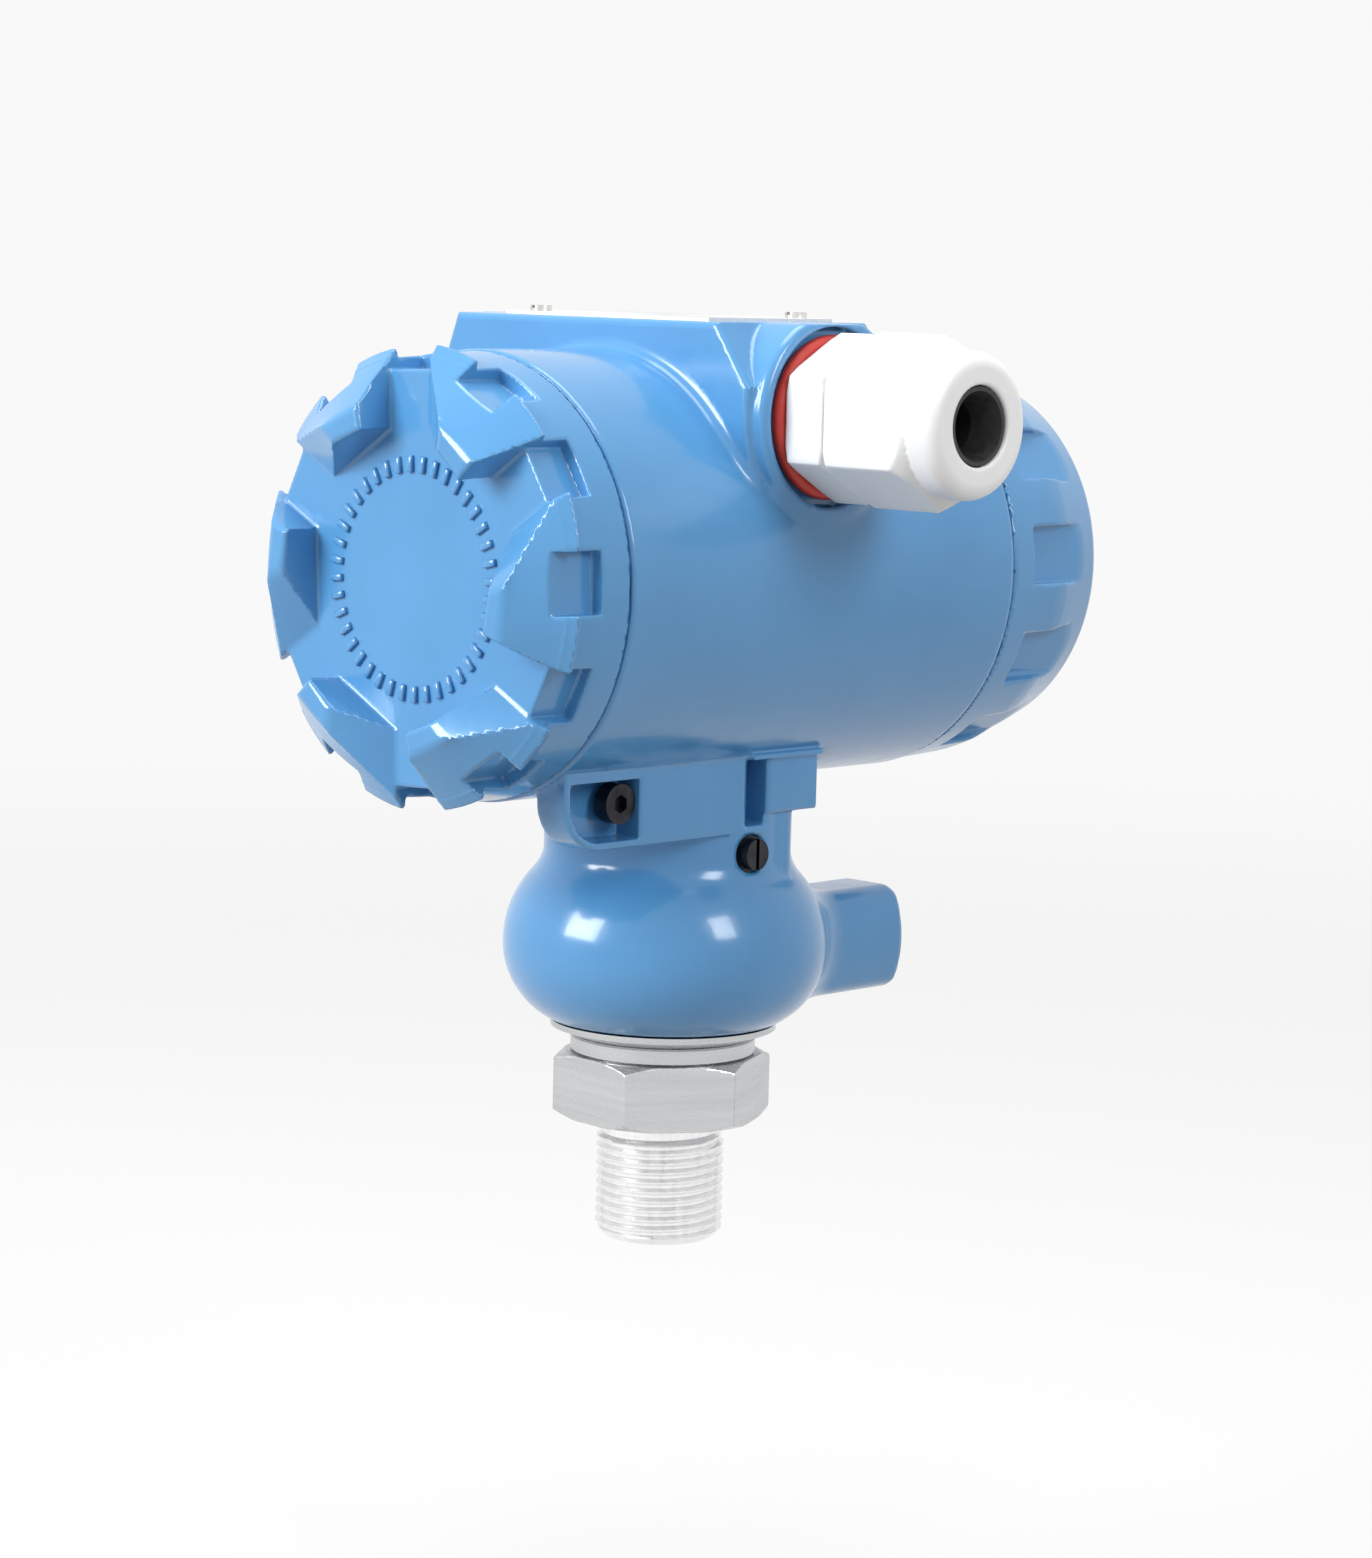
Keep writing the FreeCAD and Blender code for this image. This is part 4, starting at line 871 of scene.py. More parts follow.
FINISHES: dict[str, Finish] = {
    "enamel": Enamel("blue_enamel", (0.088, 0.295, 0.575), (0.076, 0.268, 0.535), (0.16, 0.26)),
    "steel": Turned("turned_steel", (0.60, 0.605, 0.615), (0.52, 0.53, 0.54), (0.20, 0.36)),
    # Painted light: the thread's steel is the connector's steel made paler, standing in for the light that
    # the thread catches.
    "thread": Turned(
        "thread_steel_painted_bright", (0.90, 0.90, 0.90), (0.80, 0.80, 0.81), (0.14, 0.26), (1.0, 1.0, 0.2)),
    "nylon": Moulded(
        "white_nylon", (0.86, 0.86, 0.855), (0.82, 0.82, 0.815), (0.32, 0.44), 700, 0.00002, 0.10),
    "black_rubber": Moulded("black_rubber", (0.022, 0.022, 0.023), (0.012, 0.012, 0.013), (0.35, 0.60)),
    "red_rubber": Moulded("red_rubber", (0.62, 0.045, 0.03), (0.48, 0.03, 0.02), (0.40, 0.60)),
    "terminal_plastic": Moulded(
        "terminal_plastic", (0.035, 0.035, 0.038), (0.022, 0.022, 0.025), (0.35, 0.50)),
    "board": Moulded("board_lacquer", (0.02, 0.17, 0.06), (0.015, 0.11, 0.04), (0.18, 0.32), 1400),
    "lead_sleeve": Moulded("lead_sleeve", (0.42, 0.42, 0.43), (0.32, 0.32, 0.33), (0.45, 0.65)),
    "bright_steel": Plated("bright_plating", (0.80, 0.79, 0.76), (0.62, 0.60, 0.56), (0.14, 0.32)),
    # Black oxide of the lock screw; on the earth screw and its washer the same dark finish is painted shade,
    # where they sit in shadow between lug and post.
    "black_steel": Plated("black_oxide_and_painted_shade", (0.05, 0.05, 0.055), (0.025, 0.025, 0.03), (0.28, 0.45)),
    "brass": Plated("brass", (0.80, 0.60, 0.28), (0.66, 0.47, 0.19), (0.16, 0.32)),
    "plate": Turned(
        "nameplate_metal", (0.78, 0.79, 0.80), (0.70, 0.71, 0.72), (0.28, 0.42), (0.02, 1.0, 1.0)),
}


@dataclass
class Finishes:
    """All materials of the instrument, made once. Their keys are the record's slots, and the thread's own, a
    paler copy of the steel that paints in light.
    """

    materials: dict[str, bpy.types.Material] = field(
        default_factory=lambda: {key: finish.make() for key, finish in FINISHES.items()})

    def dress_nodes(self, frame: dict) -> None:
        """Give every carried-over node its material.
        """
        for part in frame["record"]["subparts"]:
            mesh = frame["nodes"][part["node"]].data
            mesh.materials.clear()
            mesh.materials.append(self.materials[part["material_slot"]])

    def dress(self, piece: bpy.types.Object, body: str, slot: Slot, replaces: Sequence[str] = (),
              key: str = "") -> None:
        """Dress a new piece and hand it to its body.

        Args:
            piece: The piece.
            body: CAD body that it rides on.
            slot: Slot of the record that it takes its finish from.
            replaces: CAD nodes that it stands for.
            key: Another material than the slot's own.
        """
        piece.data.materials.append(self.materials[key or slot.value])
        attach(piece, body)
        for node in replaces:
            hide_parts(node)
        LOG.info("%s: %d faces on %s", piece.name, len(piece.data.polygons), body)


# Housing


@dataclass(frozen=True)
class Cheek:
    """Block across X with a large round at its lower front edge.

    Attributes:
        ends: Its front and its back end.
        drops: Its underside and its top, measured down from the barrel's axis.
        large: Radius of the large round.
        edge: Radius of its other edges.
    """

    ends: Corner
    drops: Corner
    large: float
    edge: float

    def between(self, near: float, far: float) -> Solid:
        """The block between two levels across.

        Args:
            near: Its inner face.
            far: Its outer face.

        Returns:
            The block.
        """
        (front, back), (under, over) = self.ends, self.drops
        middle_y, middle_z = (front + back) / 2, AXIS_HEIGHT - (under + over) / 2
        half_y, half_z = (back - front) / 2, (under - over) / 2

        def distance(points: np.ndarray) -> np.ndarray:
            """Distance to the block."""
            across, up = points[:, 1] - middle_y, points[:, 2] - middle_z
            radius = np.where((across < 0) & (up < 0), self.large, self.edge)
            reach_y, reach_z = np.abs(across) - half_y + radius, np.abs(up) - half_z + radius
            side = np.hypot(np.maximum(reach_y, 0), np.maximum(reach_z, 0)) - radius
            side += np.minimum(np.maximum(reach_y, reach_z), 0)
            along = np.abs(points[:, 0] - (near + far) / 2) - (far - near) / 2
            return rounded_pair(side, along, self.edge)

        return Solid(distance)


@dataclass
class Housing:
    """Barrel, bar, neck, bulb, arm and lugs of the one casting. Sizes in millimetres."""

    barrel_radius: float = 33.5
    barrel_half: float = 42.0
    chamber_radius: float = 29.5
    bulkhead: Corner = (10.6, 13.6)
    bar_half_width: float = 16.6
    bar_top: float = AXIS_HEIGHT + 38.2
    bar_ends: Corner = (-29.8, 23.8)
    slope: Corner = (6.6, 9.2)
    plug_run: float = 3.6
    boss_radius: float = 15.4
    boss_stand: float = 2.2
    entry_radius: float = 10.0
    entry_start: float = 14.0
    recess: Corner = (13.4, 2.0)
    neck_radius: float = 19.3
    bulb_foot: float = 15.2
    bulb_level: float = 27.3
    bulb_radius: float = 25.4
    bulb_rounds: Corner = (16.69, 13.09)
    arm_half: Corner = (6.0, 8.5)
    arm_belly: float = 2.2
    arm_end: float = 47.0
    arm_level: float = AXIS_HEIGHT - 61.9
    arm_blend: float = 9.0
    lug_inner: float = 12.6
    lug_face: float = 18.9
    lip_level: float = AXIS_HEIGHT - 27.1
    lip_size: float = 1.0
    lip_ends: Corner = (-33.1, -2.6)
    lug: Cheek = Cheek((-40.6, 1.6), (39.5, 21.4), 7.5, 0.5)
    stop_ends: Corner = (1.4, 12.8)
    stop_drops: Corner = (36.6, 23.4)
    stop_stand: float = 0.9
    post_ends: Corner = (4.9, 8.0)
    post_drop: float = 35.6
    pocket: Cheek = Cheek((-39.4, -25.1), (38.3, 29.4), 6.3, 0.3)
    pocket_depth: float = 5.0
    earth_place: Corner = (-1.1, 42.6)
    earth_spot: float = 3.0
    earth_flat: float = 18.4
    wire_hole: Corner = (3.0, 18.0)
    neck_bore: float = 8.0
    collar_bore: float = 13.5
    collar_depth: float = 16.5
    bracket_hole: float = 2.5
    edge: float = 0.5
    space: Space = ((-40.5, -44, 13), (35, 48.7, 126.5))

    def barrel(self) -> Solid:
        """Barrel with a broken edge at each end."""
        return rod(Axis.Y, (0, 0, AXIS_HEIGHT), self.barrel_radius, -self.barrel_half, self.barrel_half, 0.7)

    def bar(self) -> Solid:
        """Flat-topped bar with sloping ends and a boss at each end."""
        low, high = self.bar_ends
        run, drop = self.slope
        side = Solid(lambda points: np.where(
            points[:, 2] < ENTRY_HEIGHT,
            np.hypot(points[:, 1], points[:, 2] - ENTRY_HEIGHT),
            np.abs(points[:, 1])) - self.bar_half_width)
        length = prism(Axis.Y, [
            (low - run, AXIS_HEIGHT - 5), (high + run, AXIS_HEIGHT - 5), (high + run, self.bar_top - drop),
            (high, self.bar_top), (low - run + self.plug_run, self.bar_top), (low - run, self.bar_top - drop),
        ], -PAST, PAST)
        boss = rod(Axis.X, (0, 0, ENTRY_HEIGHT), self.boss_radius, low - run - self.boss_stand,
                   high + run + self.boss_stand, 1.3)
        boss = boss.meet(half_space(Axis.Z, self.bar_top), 0.3)
        return side.meet(length, 0.9).join(boss, 0.5)

    def bulb(self) -> Solid:
        """Neck and bulb round the process axis."""

        def distance(points: np.ndarray) -> np.ndarray:
            """Distance to two arcs that meet at the bulb's widest level."""
            radius = np.hypot(points[:, 0], points[:, 1])
            height = points[:, 2] - self.bulb_level
            upper, lower = (
                np.hypot(radius - self.bulb_radius + bow, height) - bow for bow in self.bulb_rounds)
            return np.where(height > 0, upper, lower)

        foot = half_space(Axis.Z, self.bulb_foot, keeps_below=False)
        neck = rod(Axis.Z, (0, 0, 0), self.neck_radius, self.bulb_level, AXIS_HEIGHT)
        return Solid(distance).meet(foot, 0.6).join(neck, 1.6)

    def arm(self) -> Solid:
        """Bracket arm with bulging sides."""
        half_width, half_height = self.arm_half
        bow = (half_height ** 2 + self.arm_belly ** 2) / (2 * self.arm_belly)
        shift = bow - half_width - self.arm_belly

        def distance(points: np.ndarray) -> np.ndarray:
            """Distance to the arm's section."""
            rise = points[:, 2] - self.arm_level
            side = np.hypot(np.abs(points[:, 0]) + shift, rise) - bow
            return rounded_pair(side, np.abs(rise) - half_height, 2.2)

        start = half_space(Axis.Y, 0, keeps_below=False)
        return Solid(distance).meet(half_space(Axis.Y, self.arm_end), 0.6).meet(start)

    def lugs(self) -> Solid:
        """Lock lug with its lip, the stop block behind it and the post under that."""
        near, face, top = self.lug_inner, self.lug_face, AXIS_HEIGHT
        level, size = self.lip_level, self.lip_size
        (stop_front, stop_back), (stop_under, stop_over) = self.stop_ends, self.stop_drops
        (lip_front, lip_back), (post_front, post_back) = self.lip_ends, self.post_ends
        stop_face = face + self.stop_stand
        solid = self.lug.between(near, face)
        for low, high, edge in (
            ((near, lip_front, level), (face + size, lip_back, level + size), 0.3),
            ((near, stop_front, top - stop_under), (stop_face, stop_back, top - stop_over), 0.5),
            ((near, lip_back, level - size), (stop_face + size, stop_back, level), 0.3),
            ((near, post_front, self.bulb_level), (face, post_back, top - self.post_drop), 0.4),
        ):
            solid = solid.join(block(low, high, edge), 0.35)
        return solid

    def hollows(self) -> list[tuple[Solid, float]]:
        """Everything that is cut out of the casting, each with the radius of its rim."""
        top, face, rim = AXIS_HEIGHT, self.lug_face, 0.3
        barrel, entry, process = (0, 0, top), (0, 0, ENTRY_HEIGHT), (0, 0, 0)
        low = self.bar_ends[0] - self.slope[0] - self.boss_stand
        high = self.bar_ends[1] + self.slope[0] + self.boss_stand
        recess_radius, recess_depth = self.recess
        (wire_radius, wire_drop), (spot_place, spot_drop) = self.wire_hole, self.earth_place
        notch_low = (face - 6, self.lip_ends[1], top - self.pocket.drops[0])
        notch_high = (40, self.stop_ends[0], self.lip_level - self.lip_size)
        cuts = [
            (rod(Axis.Y, barrel, self.chamber_radius, -PAST, self.bulkhead[0]), rim),
            (rod(Axis.Y, barrel, self.chamber_radius, self.bulkhead[1], PAST), rim),
            (rod(Axis.Y, (0, 0, top - wire_drop), wire_radius, 5, 20), 0.2),
            (rod(Axis.Z, process, self.neck_bore, 10, top - 14.7), rim),
            (rod(Axis.Z, process, self.collar_bore, 0, self.bulb_foot + self.collar_depth), rim),
            (rod(Axis.X, entry, self.entry_radius, self.entry_start, PAST), rim),
            (rod(Axis.X, entry, self.entry_radius, -PAST, -self.entry_start), rim),
            (rod(Axis.X, entry, recess_radius, high - recess_depth, PAST), 0.4),
            (rod(Axis.X, entry, recess_radius, -PAST, low + recess_depth), 0.4),
            (self.pocket.between(face - self.pocket_depth, 40), 0.35),
            (block(notch_low, notch_high, 0.2), rim),
            (rod(Axis.X, (0, spot_place, top - spot_drop), self.earth_spot, self.earth_flat, 30), 0.2),
        ]
        for rise in (-5, 5):
            hole = rod(Axis.Y, (0, 0, self.arm_level + rise), self.bracket_hole, self.arm_end - 12, PAST)
            cuts.append((hole, rim))
        return cuts

    def build(self, finishes: Finishes) -> None:
        """Build and dress the casting.

        Args:
            finishes: The instrument's materials.
        """
        upper = self.barrel().join(self.bar(), 1.8)
        lower = self.bulb().join(self.arm(), self.arm_blend)
        solid = upper.join(lower, 0.8).join(self.lugs(), self.edge)
        for tool, rim in self.hollows():
            solid = solid.carve(tool, rim)
        piece = Mesher(0.65).mesh("housing_casting", solid, self.space, 0.6)
        finishes.dress(piece, "housing", Slot.ENAMEL, ["housing"])


# Covers


@dataclass
class Cover:
    """Screwed cover with a notched rim. Lengths run outward from the barrel's middle, in millimetres."""

    name: str
    outward: int
    turn: float
    seam: float = 42.4
    radius: float = 33.2
    rim_radius: float = 32.5
    inner_radius: float = 25.6
    screw_radius: float = 29.2
    groove_radius: float = 27.0
    screw_end: float = 34.0
    groove_end: float = 39.8
    wall: float = 3.4
    notches: int = 12
    notch_half: float = 4.5
    notch_depth: float = 2.0
    notch_start: float = 47.5
    rim_edge: float = 0.35
    spoke_half: float = 4.45

    @property
    def centre(self) -> Triple:
        """A point on the barrel's axis."""
        return (0, 0, AXIS_HEIGHT)

    def outward_solid(self, solid: Solid) -> Solid:
        """A solid drawn with its outward direction along +Y, facing this cover's way."""
        if self.outward > 0:
            return solid

        def distance(points: np.ndarray) -> np.ndarray:
            """Distance with Y reversed."""
            local = points.copy()
            local[:, 1] = -points[:, 1]
            return solid.distance(local)

        return Solid(distance)

    def spigot(self) -> Solid:
        """Screwed spigot behind the seam, with the seal's groove."""
        return lathe(Axis.Y, self.centre, [
            (self.screw_end, -5), (self.seam + 3, -5), (self.seam + 3, 28), (self.seam, self.groove_radius),
            (self.groove_end, self.groove_radius), (self.groove_end, self.screw_radius),
            (self.screw_end + 0.7, self.screw_radius), (self.screw_end, self.screw_radius - 0.7),
        ])

    def notch(self, start: float) -> Solid:
        """One rim notch from a level outward."""
        deep = self.rim_radius - self.notch_depth
        top = AXIS_HEIGHT
        return block((deep, start, top - self.notch_half), (PAST, 2 * PAST, top + self.notch_half), 0.25)

    def notched(self, solid: Solid) -> Solid:
        """A cover's outside with the notches cut round its rim."""
        notches = self.notch(self.notch_start).repeated(self.centre, self.notches)
        return solid.carve(notches, self.rim_edge)

    def completed(self, solid: Solid, end: float) -> Solid:
        """The whole cover in its own place.

        Args:
            solid: Its outside.
            end: Level of its closed end.

        Returns:
            The cover with its spigot and its hollow.
        """
        hollow = rod(Axis.Y, self.centre, self.inner_radius, 0, end - self.wall, 0.8)
        solid = solid.join(self.spigot()).carve(hollow, 0.3)
        return self.outward_solid(solid).turned(self.centre, self.turn)


@dataclass
class FrontCover(Cover):
    """Terminal cover: flat face, six skewed grip lugs and a ring of raised ticks."""

    name: str = "front_cover"
    outward: int = -1
    turn: float = 2.85
    face: float = 54.1
    lug_height: float = 6.2
    lug_base: Corner = (21.4, 7.217)
    lug_top: tuple[Corner, ...] = ((21.0, -7.1), (24.4, -8.2), (25.8, -0.2), (22.5, -1.2))
    ticks: int = 40
    tick_span: Corner = (15.6, 18.0)
    tick_width: float = 1.0
    tick_height: float = 0.5
    tick_sink: float = 0.3
    tick_edge: float = 0.16
    rim_steps: int = 14
    lug_edge: float = 0.6
    space: Space = ((-35, -62, 51), (35, -32.5, 121.5))

    def lug(self) -> Solid:
        """Grip lug whose outline shifts evenly from its base to its skewed top."""
        inner, half = self.lug_base
        reach = 30 - math.degrees(math.asin(self.spoke_half / self.rim_radius))
        rim = arc((0, 0), self.rim_radius, -reach, reach, self.rim_steps)
        base = [(inner, -half), *rim, (inner, half)]
        inner_low, outer_low, outer_high, inner_high = (np.array(corner) for corner in self.lug_top)
        shares = np.linspace(0, 1, self.rim_steps + 1)
        top = [inner_low, *(outer_low + (outer_high - outer_low) * share for share in shares), inner_high]

        def distance(points: np.ndarray) -> np.ndarray:
            """Distance to the lug, scaled for its slanting sides."""
            rise = (points[:, 1] - self.face) / self.lug_height
            share = np.clip(rise, -0.2, 1.05)
            corners = [
                (low[0] + (high[0] - low[0]) * share, low[1] + (high[1] - low[1]) * share)
                for low, high in zip(base, top)
            ]
            side = outline_distance(points[:, 0], points[:, 2] - AXIS_HEIGHT, corners) * 0.8
            height = np.abs(points[:, 1] - self.face - self.lug_height / 2 + 1) - self.lug_height / 2 - 1
            return rounded_pair(side, height, self.lug_edge)

        return Solid(distance)

    def build(self, finishes: Finishes) -> None:
        """Build and dress the cover.

        Args:
            finishes: The instrument's materials.
        """
        cup = lathe(Axis.Y, self.centre, [
            (self.seam, -5), (self.face, -5), (self.face, self.rim_radius), (self.seam, self.radius),
        ])
        cup = cup.meet(half_space(Axis.Y, self.face), 0.5)
        solid = cup.join(self.lug().repeated(self.centre, 6), 0.5)
        solid = self.completed(self.notched(solid), self.face)
        piece = Mesher(0.46).mesh(self.name + "_shell", solid, self.space)
        finishes.dress(piece, "front_cover", Slot.ENAMEL, ["front_cover"])
        self.tick_ring(finishes)

    def tick_ring(self, finishes: Finishes) -> None:
        """Raise the plain ticks round the face.

        Args:
            finishes: The instrument's materials.
        """
        (near, far), soft, half = self.tick_span, self.tick_edge, self.tick_width / 2
        outline, inset = (
            [(near + trim, trim - half), (far - trim, trim - half), (far - trim, half - trim),
             (near + trim, half - trim)] for trim in (0, soft))
        rings = [(outline, -self.tick_sink), (outline, self.tick_height - soft), (inset, self.tick_height)]
        points, faces = [], []
        for tick in range(self.ticks):
            angle = math.radians(self.turn + 360 / self.ticks * tick)
            first = len(points)
            for corners, rise in rings:
                for along, across in corners:
                    points.append((
                        along * math.cos(angle) - across * math.sin(angle), -self.face - rise,
                        AXIS_HEIGHT + along * math.sin(angle) + across * math.cos(angle)))
            for ring in range(len(rings) - 1):
                for corner in range(4):
                    a, b = first + ring * 4 + corner, first + ring * 4 + (corner + 1) % 4
                    faces.append((a, b, b + 4, a + 4))
            faces.append(tuple(first + 8 + corner for corner in range(4)))
            faces.append(tuple(first + 3 - corner for corner in range(4)))
        piece = new_piece("front_cover_ticks", np.array(points) * MM, np.array(faces))
        finishes.dress(piece, "front_cover", Slot.ENAMEL)


@dataclass
class RearCover(Cover):
    """Electronics cover: the same notched skirt under a tapered, rounded crown."""

    name: str = "rear_cover"
    outward: int = 1
    turn: float = 4.0
    ridge: float = 55.6
    end: float = 69.0
    crown_radius: float = 29.2
    crown_round: float = 2.6
    notch_start: float = 47.6
    relief: float = 1.4
    hexagon: float = 42.8
    space: Space = ((-35, 32.5, 51), (35, 70.6, 121.5))

    def build(self, finishes: Finishes) -> None:
        """Build and dress the cover.

        Args:
            finishes: The instrument's materials.
        """
        past = self.end + 20
        skirt = lathe(Axis.Y, self.centre, [
            (self.seam, -5), (past, -5), (past, self.rim_radius), (self.ridge, self.rim_radius),
            (self.seam, self.radius),
        ])
        fall = (self.rim_radius - self.crown_radius) / (self.end - self.crown_round - self.ridge)
        slant = math.hypot(fall, 1)

        def crown(points: np.ndarray) -> np.ndarray:
            """Distance to the crown's cone."""
            radius = np.hypot(points[:, 0], points[:, 2] - AXIS_HEIGHT)
            return (radius - self.rim_radius + fall * (points[:, 1] - self.ridge)) / slant

        outer = skirt.meet(Solid(crown), 0.5).meet(half_space(Axis.Y, self.end), self.crown_round)
        floor = self.end - self.relief
        above = half_space(Axis.Y, floor, keeps_below=False)
        middle = six_sided(Axis.Y, self.centre, self.hexagon).meet(above, 0.2)
        half = self.spoke_half
        spoke = block((0, floor, AXIS_HEIGHT - half), (PAST, 2 * PAST, AXIS_HEIGHT + half), 0.2)
        star = middle.join(spoke.repeated(self.centre, 6))
        solid = self.completed(self.notched(outer).carve(star, self.rim_edge), self.end)
        piece = Mesher(0.55).mesh(self.name + "_shell", solid, self.space, 0.55)
        finishes.dress(piece, "rear_cover", Slot.ENAMEL, ["rear_cover"])


# Cable entries


@dataclass
class CableGland:
    """White gland with a rubber insert and a claw ring; this builds its hexagonal body and its hexagonal dome
    nut.
    """

    flats: float = 22.0
    body: Corner = (32.9, 40.3)
    chamfer: Corner = (0.6, 1.2)
    spigot: Corner = (23.6, 9.95)
    collar: Corner = (48.9, 8.9)
    passage: float = 5.4
    seat: Corner = (44.9, 7.0)
    nut_flats: float = 22.6
    nut: Corner = (40.7, 61.3)
    nut_chamfer: Corner = (0.6, 1.0)
    nut_shoulder: float = 53.7
    dome_radius: float = 10.7
    dome_round: float = 2.4
    mouth: float = 5.95
    nut_inside: Corner = (59.6, 9.1)
    corner: float = 0.35
    body_space: Space = ((22, -13, ENTRY_HEIGHT - 14), (51, 13, ENTRY_HEIGHT + 14))
    nut_space: Space = ((39, -13.5, ENTRY_HEIGHT - 14.5), (63, 13.5, ENTRY_HEIGHT + 14.5))

    @property
    def centre(self) -> Triple:
        """A point on the entry's axis."""
        return (0, 0, ENTRY_HEIGHT)

    def build(self, finishes: Finishes) -> None:
        """Build and dress the gland's pieces.

        Args:
            finishes: The instrument's materials.
        """
        start, end = self.body
        head = chamfered_hexagon(Axis.X, self.centre, self.flats, self.body, self.chamfer, self.corner)
        solid = head.join(rod(Axis.X, self.centre, self.spigot[1], self.spigot[0], end - 1, 0.6))
        solid = solid.join(rod(Axis.X, self.centre, self.collar[1], start + 1, self.collar[0], 0.5), 0.3)
        solid = solid.carve(rod(Axis.X, self.centre, self.passage, 0, 80), 0.3)
        solid = solid.carve(rod(Axis.X, self.centre, self.seat[1], self.seat[0], 80), 0.3)
        piece = Mesher(0.4).mesh("gland_body_moulding", solid, self.body_space)
        finishes.dress(piece, "housing", Slot.NYLON, ["gland_body"])
        self.dome_nut(finishes)

    def dome_nut(self, finishes: Finishes) -> None:
        """Build the nut.

        Args:
            finishes: The instrument's materials.
        """
        (start, end), (run, fall) = self.nut, self.nut_chamfer
        tip = self.nut_flats / math.sqrt(3)
        barrel = lathe(Axis.X, self.centre, [
            (start, -5), (start, tip - fall), (start + run, tip), (self.nut_shoulder, tip),
            (self.nut_shoulder + 2.4, self.dome_radius + 0.2), (end + 8, self.dome_radius), (end + 8, -5),
        ])
        envelope = barrel.meet(half_space(Axis.X, end), self.dome_round)
        solid = six_sided(Axis.X, self.centre, self.nut_flats, 30).meet(envelope, self.corner)
        solid = solid.carve(rod(Axis.X, self.centre, self.nut_inside[1], 0, self.nut_inside[0], 0.5), 0.3)
        solid = solid.carve(rod(Axis.X, self.centre, self.mouth, 0, 80), 0.5)
        piece = Mesher(0.4).mesh("gland_nut_moulding", solid, self.nut_space)
        finishes.dress(piece, "gland_nut", Slot.NYLON, ["gland_nut"])


@dataclass
class BlankingPlug:
    """Hexagonal plug of the unused entry."""

    flats: float = 22.0
    head: Corner = (-43.9, -38.9)
    chamfer: Corner = (0.6, 1.2)
    spigot: Corner = (-30.9, 9.8)
    space: Space = ((-45.5, -13, ENTRY_HEIGHT - 14), (-29, 13, ENTRY_HEIGHT + 14))

    def build(self, finishes: Finishes) -> None:
        """Build and dress the plug.

        Args:
            finishes: The instrument's materials.
        """
        centre = (0, 0, ENTRY_HEIGHT)
        spigot_end, spigot_radius = self.spigot
        solid = chamfered_hexagon(Axis.X, centre, self.flats, self.head, self.chamfer, 0.3)
        solid = solid.join(rod(Axis.X, centre, spigot_radius, self.head[0] + 1, spigot_end, 0.8))
        piece = Mesher(0.45).mesh("blanking_plug_turning", solid, self.space)
        finishes.dress(piece, "plug", Slot.STEEL, ["blanking_plug"])


# Process connection


